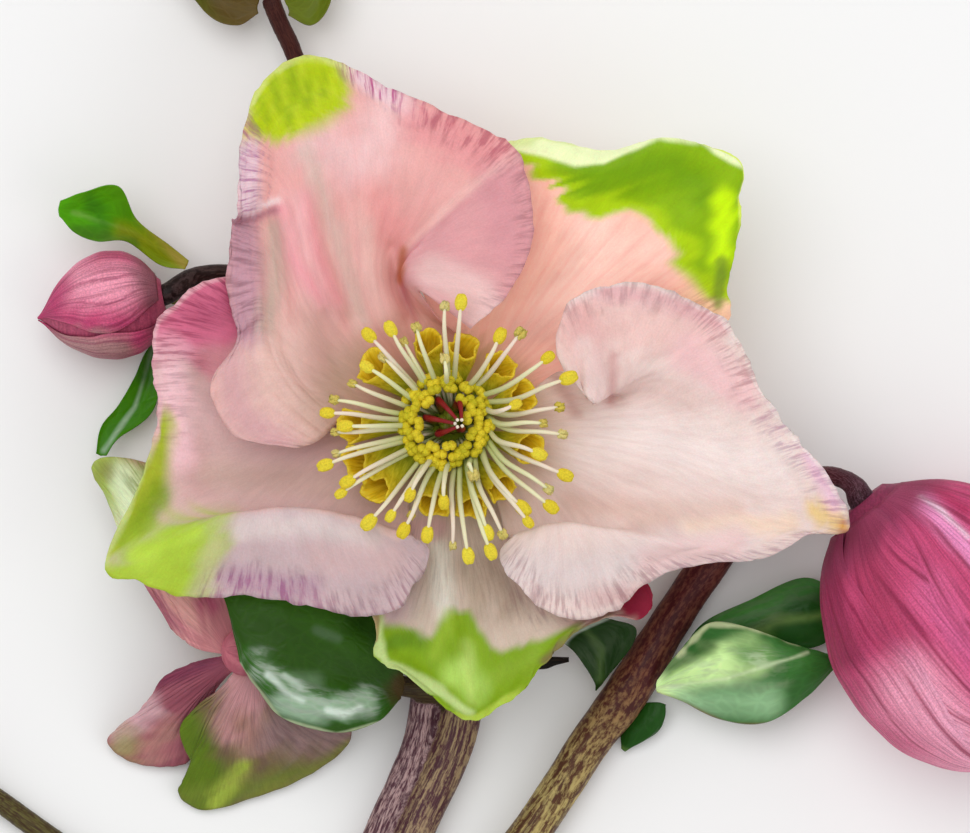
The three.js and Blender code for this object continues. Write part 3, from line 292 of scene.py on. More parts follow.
class Sheet:
    """A grid of points: `s` runs across it, `t` from its base to its far edge."""

    def __init__(self, grid, s, t, seed):
        self.grid, self.s, self.t, self.seed = grid, s, t, seed
        self.paint, self.streak = np.zeros((*s.shape, 4)), np.zeros((*s.shape, 4))
        self.measure()

    def measure(self):
        """Lengths along the sheet in steps: from the rim, outward and across."""
        self.x, self.y = self.grid[..., 0], self.grid[..., 1]
        outward = np.linalg.norm(np.diff(self.grid, axis=1), axis=2)
        across = np.linalg.norm(np.diff(self.grid, axis=0), axis=2)
        self.out = np.pad(np.cumsum(outward, axis=1), ((0, 0), (1, 0)))
        self.wide = np.pad(np.cumsum(across, axis=0), ((1, 0), (0, 0)))
        self.rim = self.out[:, -1:] - self.out
        self.sides = np.minimum(self.wide, self.wide[-1:] - self.wide)

    # Shaping. Each use of noise adds a number of its own to the sheet's seed.
    def normals(self):
        return unit(np.cross(np.gradient(self.grid, axis=1), np.gradient(self.grid, axis=0)))

    def lift(self, height):
        """Moves the sheet along its own normals."""
        self.grid = self.grid + self.normals() * height[..., None]

    def wave(self, waves, phase, height):
        """Ripples that grow towards the rim."""
        turn = 2 * math.pi * (waves * self.s + phase)
        self.grid[..., 2] += height * np.sin(turn) * self.t**4
        self.measure()

    def crumple(self, size, height, inner=0.25):
        """Uneven swells `size` steps wide, stronger towards the rim."""
        noise = ripple(self.wide / size, self.out / size, self.seed)
        noise += 0.5 * ripple(2.1 * self.wide / size, 2.1 * self.out / size, self.seed + 5)
        self.lift(height * noise * (inner + (1 - inner) * self.t**2))

    def pleat(self, count, height):
        """Fine ribs that fan out from the base."""
        place = self.s * count + 0.35 * ripple(self.s * 9, self.t * 3, self.seed + 2)
        fade = smooth(0.1, 0.4, self.t)
        self.lift(height * (np.abs((place % 1) * 2 - 1) - 0.5) * fade)

    def frill(self, height):
        """Small uneven ripples of the very edge, in and out and up and down."""
        edge = height * (1 - smooth(0, 1.6, self.rim)) * smooth(0.6, 3, self.sides)
        outward = unit(np.gradient(self.grid, axis=1))
        along = ripple(self.wide / 1.1, 0.0, self.seed + 20)
        along += 0.6 * ripple(self.wide / 0.45, 0.0, self.seed + 21)
        self.grid += outward * (edge * along)[..., None]
        self.grid[..., 2] += edge * ripple(self.wide / 0.9, 0.0, self.seed + 22)

    def fold(self, path, width, height):
        """A soft ridge, or with a negative height a valley, along a line seen from above."""
        away, _ = to_path(self.x, self.y, path)
        self.grid[..., 2] += height * np.exp(-(away / width)**2)

    # Brushes, for the sheet's colour or for that of its streaks.
    def mix(self, colour, share, streaks=False):
        """Blends a colour in by the share given for each point."""
        layer = self.streak if streaks else self.paint
        share = np.clip(share, 0, 1)[..., None]
        layer[..., :3] = layer[..., :3] * (1 - share) + tint(colour) * share
        layer[..., 3:] = np.maximum(layer[..., 3:], share) if streaks else 1

    def brush(self, depth, colour, soft, ragged, strength, streaks):
        """Paints where `depth` is above 0; the edge is `soft` steps wide and uneven."""
        depth = depth + ragged * ripple(self.wide / 1.3, self.out / 4, self.seed + 9)
        self.mix(colour, strength * smooth(-soft / 2, soft / 2, depth), streaks)

    def wash(self, colour, strength=1.0, streaks=False):
        """The whole sheet."""
        self.mix(colour, np.full(self.s.shape, strength), streaks)

    def beyond(self, path, colour, soft, ragged, strength=1.0, streaks=False):
        """The area to the left of a polyline."""
        away, side = to_path(self.x, self.y, path)
        self.brush(away * side, colour, soft, ragged, strength, streaks)

    def line(self, path, width, colour, soft, ragged, strength, streaks=False):
        """A stroke along a polyline."""
        away, _ = to_path(self.x, self.y, path)
        self.brush(width / 2 - away, colour, soft, ragged, strength, streaks)

    def blob(self, x, y, radius, colour, soft, ragged, strength):
        """A round spot."""
        depth = radius - np.hypot(self.x - x, self.y - y)
        self.brush(depth, colour, soft, ragged, strength, False)

    def band(self, first, last, width, colour, soft, ragged, strength, streaks=False):
        """Along the rim, between two shares of the way round it."""
        ends = (smooth(first - 0.02, first + 0.02, self.s)
                * (1 - smooth(last - 0.02, last + 0.02, self.s)))
        self.brush(width - self.rim, colour, soft, ragged, strength * ends, streaks)

    def base(self, reach, colour, soft, strength, streaks=False):
        """The foot of the sheet, up to `reach` steps out."""
        self.brush(reach - self.out, colour, soft, BASE_RAGGED, strength, streaks)

    def veins(self, count, width, colour, strength):
        """Narrow lines from the foot to the point."""
        place = (self.s * count + 0.25 * ripple(self.t * 3, self.s * 5, self.seed + 3)) % 1
        apart = abs(place - 0.5) * self.wide[-1:] / count
        ends = smooth(0.02, 0.2, self.t) * (1 - smooth(0.8, 1, self.t))
        self.mix(colour, strength * ends * (1 - smooth(width / 2, width, apart)))

    def flow(self):
        """Where the veins run: across, outward, and a number of the sheet's own."""
        width = max(self.wide[-1].max(), 1)
        return np.stack([self.s * width, self.out, np.full(self.s.shape, float(self.seed))], -1)

    def solid(self):
        """Vertices, faces and point fields of the sheet as a closed body."""
        edge = np.minimum(self.rim, self.sides)
        half = 0.5 * (EDGE_THICKNESS + (SHEET_THICKNESS - EDGE_THICKNESS) * smooth(0, 1.2, edge))
        offset = self.normals() * half[..., None]
        both = np.stack([self.grid + offset, self.grid - offset])
        layers = {"paint": self.paint, "streak": self.streak, "flow": self.flow()}
        fields = {key: np.stack([layer] * 2).reshape(-1, layer.shape[-1])
                  for key, layer in layers.items()}
        return both.reshape(-1, 3), sheet_faces(*self.s.shape), fields


def span(rings, grid, seed, trims=()):
    """A sheet through rings of control points, from its base to its far edge."""
    s, t = share_grid(*grid)
    across, outward = s[:, 0], t[0]
    curves = np.array([spline(ring, across) for ring in rings])
    reach = np.ones(len(across))
    for end, width, depth in trims:
        inward = 1 - np.clip(abs(across - end) / width, 0, 1)
        reach -= depth * (1 - np.sqrt(1 - inward**2))
    points = [spline(curves[:, i], outward * reach[i]) for i in range(len(across))]
    return Sheet(np.array(points), s, t, seed)


# ---------------------------------------------------------------- control points
SEPALS = [
    {
        "name": "sepal_top_left", "from": 79, "to": 163, "base": -0.3, "waves": 7, "phase": 0.2,
        "inner": [[1.6, 7.8, 0.3], [-3.6, 9.8, 0.6], [-8.8, 9, 1], [-10.5, 5, 1.2], [-8, 0.5, 0.6]],
        "middle": [
            [-1.2, 10.8, 2.4], [-3, 12.2, 1.8], [-5.4, 15, 1.6], [-8, 16.4, 2.6], [-12, 15.8, 2.8],
            [-14, 12.5, 3.6], [-14.5, 9, 3.4], [-14.3, 4.5, 3.2], [-10.6, 0.6, 2.4],
        ],
        "outer": [
            [-2.9, 13.4, 5.6], [-4, 16, 6.2], [-1.6, 20.6, 7.2], [-7, 25.4, 5.2], [-14.3, 27, 4.8],
            [-17.6, 22.4, 5], [-18, 14.5, 3], [-18.5, 6.4, 5.2], [-13.4, -1.7, 4.4],
        ],
        "rim": [
            [2, 9.6, 7.8], [5.6, 13, 8.4], [7.9, 17, 8], [8.1, 21.6, 7.2], [6.6, 27.4, 6.2],
            [0.6, 30.8, 5.6], [-6, 33.6, 5.4], [-11, 36.2, 5.4], [-15.5, 36.6, 5.6],
            [-19.4, 33, 5.4], [-20.9, 26.5, 5.8], [-21.2, 21.2, 6.6], [-21.8, 19.8, 3.2],
            [-22.3, 13.4, 2.4], [-21.3, 8.6, 4.6], [-23.9, 3.8, 6.2], [-21.4, -1, 6],
            [-16.4, -2.4, 5.4],
        ],
    },
    {
        "name": "sepal_top_right", "from": 12, "to": 75, "base": -2.3, "waves": 6, "phase": 0.6,
        "inner": [[7.5, 2.5, -1.8], [9.5, 6, -1.4], [9, 9, -1], [5.6, 10, -1], [0.8, 7.9, -1.5]],
        "middle": [
            [13, 3.5, -1.2], [17, 7, -0.6], [19.5, 11, 0.2], [20.5, 15, 1.2], [19.5, 18.5, 1.8],
            [16, 20.5, 2], [11.4, 20.5, 1.4], [4.4, 18.2, 0.2], [-2.4, 12.4, -1.2],
        ],
        "outer": [
            [18, 4, -0.6], [24, 9.5, 0.2], [25.8, 14.6, 1.4], [27.4, 21, 2.6], [27.4, 25.2, 3.4],
            [21.4, 27.5, 4], [14.4, 25.7, 3.4], [5.6, 26, 1.8], [-3.4, 18, -0.8],
        ],
        "rim": [
            [22, 5, 0], [26, 8, 0.5], [27.9, 10.8, 1], [27.8, 13.8, 1.2], [28.4, 17.2, 1.6],
            [29, 20.4, 2], [29, 23, 2.4], [29.4, 25.2, 2.6], [28.6, 26.7, 2.8],
            [25, 28, 2.8], [21, 28.5, 2.6], [18, 27.8, 1.4], [15, 27.4, 0.8],
            [12, 28.2, 0.6], [8.4, 28.7, 0.8], [3.6, 27.6, 0.5], [-2.6, 22.6, -0.8],
        ],
    },
    {
        "name": "sepal_right", "from": -49, "to": 9, "base": -0.3, "waves": 6, "phase": 0.9,
        "inner": [[4.4, -7, 0.6], [9.5, -5.6, 1], [11.5, -2, 1.4], [10.6, 1, 1.2], [7.2, 2.8, 0.8]],
        "middle": [
            [5.6, -10.8, 1.8], [10.2, -11.8, 1.8], [15, -10.8, 2.4], [20, -8, 3], [21.5, -4.5, 3.2],
            [21, -1, 3.2], [19, 2.4, 3], [15.2, 3.4, 2.2], [11.4, 5.4, 2],
        ],
        "outer": [
            [6.6, -10.8, 6.6], [10.4, -10.2, 7], [15.5, -10.5, 6.8], [24, -11.3, 5.2], [31, -8.5, 4.4],
            [29, -2.5, 4.4], [22.5, 5.2, 4.6], [17, 4.2, 5.6], [14.2, 2.1, 6.9],
        ],
        "rim": [
            [4.3, -12.6, 6.2], [6, -15.2, 5.8], [10.6, -19.1, 4.7], [16, -18.8, 4],
            [20.5, -15.3, 4], [26, -13.8, 4.2], [31.5, -13.1, 4], [36, -10.9, 4], [40, -10.2, 4.4],
            [37.4, -4.6, 4.6], [34.4, -1, 4.8], [31.2, 3.4, 5], [28.8, 8.6, 5.2],
            [26, 11.5, 5], [19.6, 14.1, 5.2], [12.6, 12.8, 6.2], [9.2, 7.8, 7.4],
        ],
    },
    {
        "name": "sepal_bottom", "from": 237, "to": 305, "base": -2.3, "waves": 6, "phase": 0.4,
        "inner": [[-3.6, -6, -1.4], [-2.4, -8.6, -1], [0.6, -9.6, -1], [3.6, -8.8, -1], [5.4, -6.6, -1.4]],
        "middle": [
            [-5.5, -8.5, -0.8], [-4.6, -12, 0], [-3.4, -15, 0.6], [-1.4, -17, 0.8], [1, -17.5, 0.4],
            [4, -16.5, 0.6], [7, -14.5, 0.4], [9, -12, -0.4], [9.5, -8.5, -1],
        ],
        "outer": [
            [-7.5, -10.5, 0], [-7.2, -15.5, 1.2], [-6, -21.5, 2], [-2.5, -25, 2.2], [1.8, -27.2, 2],
            [5.5, -25, 2.2], [10, -20.5, 2], [15, -17, 0.6], [14, -10.5, -0.6],
        ],
        "rim": [
            [-9, -12, 1], [-9.5, -15, 1.6], [-8, -18.4, 2.6], [-7.4, -20.6, 2.8],
            [-7.6, -23.2, 3], [-4.8, -24.8, 3.4], [-1.8, -27, 3.6], [0.2, -28.6, 3.6],
            [2.4, -29.5, 3.6], [4.6, -28.5, 3.6], [7.2, -26.3, 3.6], [9.6, -23.7, 3.4],
            [12.5, -20.9, 2.8], [16, -19.2, 2], [19.3, -19.4, 1], [20.4, -17, 0], [17.5, -13, -0.5],
        ],
    },
    {
        "name": "sepal_left", "from": 167, "to": 233, "base": -1.3, "waves": 7, "phase": 0.1,
        "inner": [[-5.5, 3, -0.9], [-9.5, 3, -0.2], [-11.5, -1, 0.2], [-10.5, -5.5, 0.5], [-4, -6.5, 0]],
        "middle": [
            [-7, 4.5, -0.7], [-13, 6, 0.2], [-17, 5, 0.9], [-19, 0.5, 1], [-21.5, -6, 1.2],
            [-19.8, -9.8, 1.1], [-15.5, -10.6, 1.2], [-9.5, -11, 1.2], [-4, -11, 1.2],
        ],
        "outer": [
            [-10.5, 6.8, -0.6], [-17.5, 9.5, 0.7], [-23, 8.5, 1.8], [-25, 2, 1.9], [-28.5, -9.5, 2],
            [-22.5, -9.3, 4.8], [-16, -8.6, 6], [-9.5, -9.5, 6.2], [-4.2, -10.9, 5.8],
        ],
        "rim": [
            [-15, 10, -0.2], [-20, 14.2, 0.8], [-24, 14.6, 1.8], [-27.5, 12.2, 2.4],
            [-29.6, 9.6, 2.8], [-29.8, 6, 2.8], [-29.3, 2, 2.6], [-30.3, -4, 2.5],
            [-34.4, -13.8, 3], [-31.3, -15.6, 3.2], [-26.4, -17.2, 3.4], [-21, -17, 3.8],
            [-15, -17.9, 4.2], [-9.5, -19, 4.4], [-5.2, -18.2, 4.6], [-3.1, -15.4, 5], [-0.9, -12.6, 5.3],
        ],
    },
]

NECTARIES = [
    [106, 8.4], [80, 7.6], [49, 7.6], [22, 7.6], [-16, 8], [-50, 7.8],
    [-75, 8.2], [-103, 8], [-139, 9.4], [-158, 10], [-179, 9.6], [143, 9.4],
]

ANTHERS = [
    [-7.9, 8.8, 8.8, 1], [-5.8, 9.4, 8.8, 1], [-3.3, 9.6, 8.8, 0.6], [-4.5, 8.2, 7.6, 0.5],
    [-0.5, 11.7, 10, 0.6], [1.1, 12, 10.2, 1], [4.9, 8.7, 8.8, 1], [6.9, 9, 9, 0.7],
    [9.6, 6.6, 9.6, 0.9], [11.6, 4.6, 9.6, 1.1], [6.4, 2, 8.8, 0.8], [10.8, 1.8, 8.6, 0.6],
    [9.2, 0.2, 8.4, 0.5], [11.1, -0.9, 8.6, 0.6], [8.7, -2.8, 8.6, 1], [11.3, -4.9, 8.8, 1],
    [9.7, -6.3, 9, 0.6], [9.9, -8, 9.2, 1], [7.1, -8.1, 9.2, 1.1], [7.7, -9.5, 9.6, 0.8],
    [5.2, -10.7, 9.2, 0.6], [3.7, -10.5, 9, 1], [4, -12.4, 9.2, 1], [1.8, -12.8, 9, 1],
    [0.3, -11.9, 8.4, 0.5], [-0.6, -7.5, 8.4, 0.9], [-2.2, -10.7, 8.8, 1], [-4.5, -10.3, 8.8, 1],
    [-3.8, -8.9, 8, 0.5], [-3.9, -6.8, 8.6, 0.9], [-5.8, -8.9, 8.6, 0.8], [-7.9, -9.5, 8.8, 1.1],
    [-10.7, -6.7, 8.4, 0.8], [-10, -5.5, 8.8, 1], [-12.2, -3.9, 8.4, 1], [-11.2, -2.8, 8, 0.5],
    [-10.2, -0.1, 8.8, 1], [-11.3, -0.7, 7.8, 0.5], [-12, 1.2, 8.6, 0.9], [-11.4, 2.5, 8.2, 0.6],
    [-9.6, 4.1, 8, 0.5], [-8.1, 5.7, 8.4, 0.9], [-6.5, 6.7, 8.2, 0.6], [-0.5, 6.5, 8.6, 0.6],
    [2.3, -4.8, 8.2, 0.7],
]

STYLES = [[0.6, 1.7], [-0.8, 1.7], [-1.6, 0.5], [-0.8, -0.6], [0.8, -0.3]]

SIDE_SEPALS = [
    {
        "name": "side_sepal_up_left", "from": 99, "to": 187,
        "middle": [
            [-20.4, -18.6, 8], [-22.8, -15, 7.6], [-27, -12.5, 7.2], [-27.8, -16.5, 7.4],
            [-25.6, -22.5, 7.5],
        ],
        "rim": [
            [-19.5, -15.5, 6.4], [-21.5, -10, 6], [-25, -6, 6], [-30, -4, 6.4], [-34.2, -3.2, 7.2],
            [-36.2, -4.3, 5.4], [-34.5, -8, 5.2], [-32.2, -13.5, 5.6], [-28.2, -20.6, 6.2],
        ],
    },
    {
        "name": "side_sepal_left", "from": 191, "to": 236,
        "middle": [
            [-24.6, -23.6, 7.6], [-26.3, -24.9, 7.4], [-27.6, -27.2, 6.2], [-26.4, -28.6, 5],
            [-23.7, -26.8, 5.8],
        ],
        "rim": [
            [-26.2, -24, 7], [-29, -25.5, 6], [-30.3, -27.5, 4.6], [-32.2, -29.7, 3.2],
            [-34.7, -31.8, 1.4], [-33, -33.8, 0.9], [-29.8, -34.6, 1], [-26.6, -34.1, 1.2],
            [-24.9, -31, 2.6],
        ],
    },
    {
        "name": "side_sepal_down", "from": 240, "to": 317,
        "middle": [
            [-23, -26.4, 7.6], [-24.2, -29.2, 6.8], [-22.6, -31.5, 5.6], [-18, -30.5, 5.8],
            [-15.2, -26.8, 5.6],
        ],
        "rim": [
            [-24.6, -27.6, 7], [-27.3, -30.6, 4.8], [-26.2, -34.6, 2.6], [-27.6, -37.2, 1.2],
            [-25.2, -39, 0.7], [-20, -37.8, 0.8], [-14.5, -35.5, 1], [-10.4, -32.4, 2],
            [-10, -29, 3.4],
        ],
    },
    {
        "name": "side_sepal_right", "from": 321, "to": 388,
        "middle": [
            [-16.4, -24.6, 6.4], [-14, -23.4, 5.6], [-12.6, -21.6, 5.2], [-13.6, -19.8, 5.6],
            [-16.4, -19.6, 6.4],
        ],
        "rim": [
            [-13.6, -25.6, 4.4], [-10.4, -25, 3.6], [-8.6, -22.6, 2.6], [-7.6, -20.4, 2],
            [-7.8, -18.4, 1.6], [-9.4, -17.2, 2], [-11.4, -16.8, 3], [-13.4, -17, 4],
            [-14.8, -17.6, 4.8],
        ],
    },
    {
        "name": "side_sepal_up", "from": 32, "to": 95,
        "middle": [
            [-17.6, -19.2, 7.2], [-17, -17.2, 6.4], [-17.4, -15.6, 5.6], [-18.6, -15.8, 5.4],
            [-20, -18, 6.2],
        ],
        "rim": [
            [-15.6, -16.8, 5.4], [-13.6, -14.6, 4.2], [-13.2, -12, 3], [-14.2, -9.8, 2.2],
            [-16.4, -9, 2], [-18.6, -9.8, 2.2], [-20.2, -11.6, 2.6], [-21, -13.6, 3.2],
            [-21.4, -15.8, 4.2],
        ],
    },
]

BUDS = [
    {
        "name": "bud_right", "base": [41.4, -7.6, 10.6], "tip": [62.5, -33, 8.8], "flatten": 0.8,
        "profile": [[0, 2], [0.06, 6], [0.14, 8.6], [0.33, 12.2], [0.5, 13], [0.66, 12.4],
            [0.8, 9.8], [0.92, 5.4], [1, 1]],
        "sepals": [[250, 62, 0.9], [10, 52, 0.75], [130, 52, 0.5], [310, 44, 0.3], [70, 44, 0.3]],
    },
    {
        "name": "bud_left", "base": [-29, 13, 5], "tip": [-41.7, 10.7, 4.6], "flatten": 0.95,
        "profile": [[0, 1.6], [0.1, 3.7], [0.24, 4.8], [0.42, 5.1], [0.6, 4.5], [0.78, 3],
            [0.92, 1.2], [1, 0.25]],
        "sepals": [[60, 62, 0.5], [175, 52, 0.3], [300, 50, 0.2]],
    },
    {
        "name": "bud_top", "base": [-18.5, 44.3, 3.8], "tip": [-20.4, 53.5, 3.6], "flatten": 1,
        "profile": [[0, 1.2], [0.15, 2.6], [0.4, 3.5], [0.65, 3], [0.85, 1.6], [1, 0.25]],
        "sepals": [[80, 62, 0.4], [200, 52, 0.25], [320, 50, 0.15]],
    },
    {
        "name": "bud_low", "base": [-49.4, -35.4, 2.6], "tip": [-56.6, -30.6, 2.5], "flatten": 1,
        "profile": [[0, 0.9], [0.15, 1.8], [0.4, 2.4], [0.65, 2.1], [0.85, 1.1], [1, 0.25]],
        "sepals": [[80, 62, 0.35], [200, 52, 0.2], [320, 50, 0.15]],
    },
]

BRACTS = {
    "bract_centre": [
        [[-4.6, -26, 6], [-4.7, -26.4, 5.9], [-4.8, -26.8, 5.8], [-4.9, -27.2, 5.9], [-5, -27.6, 6.2]],
        [[-5.6, -22.5, 9], [-6.4, -24.5, 8.6], [-7.3, -26.4, 8.4], [-7.4, -28.4, 8.4],
            [-7.4, -29.9, 7.6]],
        [[-9.5, -17.5, 11.6], [-10.2, -21, 11.8], [-11.5, -24.9, 11.4], [-11.7, -28, 11.6],
            [-11.5, -30.9, 9.6]],
        [[-15.5, -14, 12.2], [-15.7, -18.5, 12.8], [-16.2, -23.5, 12.8], [-16.6, -27, 12.4],
            [-16.8, -29.4, 10]],
        [[-20.5, -13.5, 12], [-20.3, -17.5, 12.9], [-20, -22.5, 12.9], [-19.6, -25, 12.2],
            [-19.4, -26.4, 11]],
        [[-23.4, -15.5, 12], [-22.8, -17, 12.4], [-22.2, -18.8, 12.6], [-21.7, -21, 12.2],
            [-21.1, -23.8, 11.4]],
    ],
    "bract_right_front": [
        [[20.9, -27, 4.6], [20.8, -26.8, 4.5], [20.8, -26.5, 4.4], [20.8, -26.2, 4.5],
            [20.9, -25.8, 4.6]],
        [[23.4, -27.9, 4.2], [23.1, -26.6, 5.2], [22.9, -25.2, 4.6], [22.8, -24.2, 5.4],
            [22.8, -23.2, 6]],
        [[27.5, -29.8, 3.8], [27.2, -26.8, 6.4], [26.8, -23.7, 5.4], [26.3, -21.8, 6.6],
            [26, -20, 7.2]],
        [[32, -30, 4.4], [31.8, -26.8, 6.8], [31.5, -23.6, 6.2], [30.8, -22, 6.4], [30, -20.4, 7]],
        [[36, -27.4, 5], [35.8, -25.6, 6.2], [35.3, -23.6, 6.4], [35, -22.8, 6.2], [34.6, -22.1, 5.8]],
        [[38.9, -24.5, 4.4], [38.8, -24.2, 4.5], [38.7, -23.9, 4.6], [38.6, -23.6, 4.6],
            [38.4, -23.2, 4.6]],
    ],
    "bract_right_back": [
        [[22.2, -26.2, 2.6], [22.3, -25.9, 2.6], [22.4, -25.6, 2.6], [22.5, -25.3, 2.6],
            [22.6, -25, 2.6]],
        [[26.4, -25, 2.2], [26.2, -23.8, 2.6], [26, -22.6, 2.7], [25.6, -21.5, 2.6], [25.2, -20.4, 2.2]],
        [[32, -23, 2.4], [31.6, -21.4, 2.9], [31, -20, 3], [30.6, -18.8, 2.9], [30.2, -17.8, 2.4]],
        [[37.2, -22.4, 2], [37, -20.6, 2.6], [36.8, -18.8, 2.8], [36.4, -17, 2.6], [36, -15.5, 2]],
        [[40.6, -20, 0.9], [40.6, -19.5, 1], [40.6, -19, 1.1], [40.6, -18.5, 1], [40.5, -18, 0.9]],
    ],
    "bract_right_left": [
        [[15.9, -25.3, 2.6], [15.6, -25.7, 2.5], [15.3, -26.1, 2.4], [15, -26.5, 2.5], [14.7, -26.9, 2.6]],
        [[16.9, -24.2, 3.4], [16.4, -24.6, 3.2], [15.8, -25.1, 2.8], [15.2, -25.6, 3], [14.6, -26.1, 3.2]],
        [[18.4, -22.2, 4.8], [17.2, -22.4, 4.2], [15.8, -22.9, 3.4], [14.6, -23.6, 3.8],
            [13.6, -24.4, 4.2]],
        [[18.6, -20.4, 5.4], [16.8, -20.5, 5], [15, -21.2, 4.2], [13.6, -22, 4.4], [12.5, -22.9, 4.8]],
        [[15.6, -19.5, 5.4], [14.4, -20, 5], [13.2, -20.6, 4.6], [12.2, -21.2, 4.6], [11.4, -22, 4.8]],
    ],
    "bract_right_low": [
        [[18.4, -28.4, 1], [19.4, -28.2, 1.4], [20.4, -28.1, 1.8], [21.2, -28.1, 2.1], [21.8, -28.3, 2.2]],
        [[17.6, -29.6, 0.9], [18.8, -29.8, 1.4], [19.9, -29.8, 1.9], [20.9, -29.8, 2.1], [21.7, -29.6, 2]],
        [[17.3, -31, 0.8], [18.2, -31.3, 1.3], [19.1, -31.5, 1.6], [20, -31.5, 1.6],
            [20.9, -31.1, 1.4]],
        [[17.3, -32.8, 0.8], [17.5, -33, 0.8], [17.7, -33.1, 0.8], [17.9, -33, 0.8], [18.2, -32.8, 0.8]],
    ],
    "bract_left_upper": [
        [[-26.4, 16.6, 5], [-26.5, 16.3, 5], [-26.6, 16.1, 5], [-26.7, 15.9, 5], [-26.8, 15.7, 5]],
        [[-28.4, 18.2, 5], [-28.7, 17.5, 4.8], [-29, 16.9, 4.6], [-29.2, 16.5, 4.6], [-29.4, 16.2, 4.7]],
        [[-31.6, 20.7, 6], [-32, 19.9, 5.6], [-32.3, 19.3, 5.4], [-32.5, 18.8, 5.4],
            [-32.6, 18.5, 5.6]],
        [[-33.4, 24, 8], [-34.3, 22.3, 6.8], [-35, 20.9, 6], [-35.4, 19.6, 5.8], [-35.6, 18.5, 5.8]],
        [[-37, 23.4, 8.4], [-37.4, 22.6, 7.6], [-37.7, 21.6, 6.8], [-37.8, 20.6, 6.4],
            [-37.9, 19.4, 6.2]],
        [[-39.3, 22.5, 7.6], [-39.4, 22.2, 7.4], [-39.5, 21.9, 7.2], [-39.5, 21.5, 7],
            [-39.4, 21.1, 6.8]],
    ],
    "bract_left_small": [
        [[-26.9, 14, 1.7], [-26.6, 14, 1.6], [-26.3, 14, 1.5], [-26, 14, 1.6], [-25.7, 14, 1.7]],
        [[-28.2, 13.2, 1.6], [-27.6, 13.1, 1.4], [-27, 13, 1.3], [-26.4, 13.1, 1.4], [-25.8, 13.2, 1.6]],
        [[-28.6, 12.5, 1.4], [-28.3, 12.3, 1.3], [-28, 12.2, 1.2], [-27.7, 12.3, 1.3],
            [-27.4, 12.5, 1.4]],
    ],
    "bract_left_lower": [
        [[-25.2, 12.8, 1.6], [-24.9, 12.9, 1.6], [-24.6, 13, 1.6], [-24.3, 13.1, 1.6], [-24, 13.2, 1.6]],
        [[-30.3, 8.2, 1.2], [-30, 8.3, 1.2], [-29.7, 8.4, 1.2], [-29.4, 8.5, 1.2], [-29.1, 8.6, 1.2]],
        [[-32, 4.8, 1.8], [-31.3, 4.6, 1.5], [-30.6, 4.4, 1.3], [-30, 4.2, 1.5], [-29.4, 4.1, 1.8]],
        [[-33.6, 2, 2.4], [-32.8, 1.8, 2.1], [-32, 1.5, 1.9], [-31.2, 1.2, 2.1], [-30.4, 1, 2.4]],
        [[-35.3, -0.2, 3], [-34.9, -0.4, 2.8], [-34.4, -0.7, 2.7], [-33.9, -1.1, 2.8],
            [-33.6, -1.4, 3]],
        [[-35.8, -2.9, 3.2], [-35.6, -3, 3.1], [-35.4, -3.1, 3.1], [-35.1, -3.1, 3.1],
            [-34.8, -3.1, 3.2]],
    ],
    "bract_top_left": [
        [[-19.3, 42.9, 4], [-19.4, 42.6, 3.9], [-19.5, 42.3, 3.8], [-19.5, 42, 3.9], [-19.4, 41.6, 4]],
        [[-21.6, 44.6, 4.2], [-22, 43.6, 3.6], [-22.2, 42.6, 3.4], [-22, 41.5, 3.6], [-21.6, 40.4, 4.2]],
        [[-25.2, 47, 4.6], [-25.6, 45.8, 3.8], [-25.8, 44.6, 3.4], [-25.4, 43.2, 3.6], [-24.6, 41.6, 4.2]],
        [[-28.6, 48.6, 4], [-28.8, 48.2, 3.9], [-29, 47.8, 3.9], [-28.9, 47.4, 3.9], [-28.7, 47, 4]],
    ],
    "bract_top_right": [
        [[-16.4, 41.4, 4], [-16.3, 41.8, 3.9], [-16.4, 42.2, 3.8], [-16.6, 42.5, 3.9], [-16.8, 42.9, 4]],
        [[-14, 40.4, 4.2], [-14.1, 41.3, 3.6], [-14.4, 42.3, 3.4], [-14.9, 43.2, 3.6],
            [-15.4, 44.2, 4.2]],
        [[-12.2, 42.6, 4.6], [-12.4, 43.8, 3.8], [-12.8, 45, 3.4], [-13.4, 46, 3.6], [-14.2, 46.8, 4.2]],
        [[-11.2, 47.6, 4], [-11.4, 47.9, 3.9], [-11.6, 48.1, 3.9], [-11.9, 48.2, 3.9], [-12.2, 48.3, 4]],
    ],
    "bract_low": [
        [[-48.9, -37.6, 1.5], [-48.6, -37.9, 1.4], [-48.3, -38.2, 1.4], [-48, -38.5, 1.4],
            [-47.6, -38.8, 1.5]],
        [[-52.2, -37.6, 1.8], [-51.8, -38.5, 1.5], [-51.4, -39.4, 1.4], [-50.8, -40.2, 1.5],
            [-50, -41, 1.8]],
        [[-55.6, -40.4, 1.6], [-55.5, -40.8, 1.5], [-55.3, -41.2, 1.5], [-55, -41.5, 1.5],
            [-54.7, -41.8, 1.6]],
    ],
}

DRY_BRACT = [
    [[3.74, -24.9, 1.9], [3.74, -24.5, 2.1], [3.74, -24.2, 2.2], [3.74, -23.9, 2.2],
        [3.74, -23.5, 2.1]],
    [[8.6, -24.8, 2], [8.6, -24.4, 2.3], [8.6, -24.1, 2.4], [8.6, -23.8, 2.4], [8.6, -23.5, 2.2]],
    [[12, -24, 2], [12, -23.9, 2], [12, -23.8, 2], [12, -23.7, 2], [12, -23.5, 2]],
]

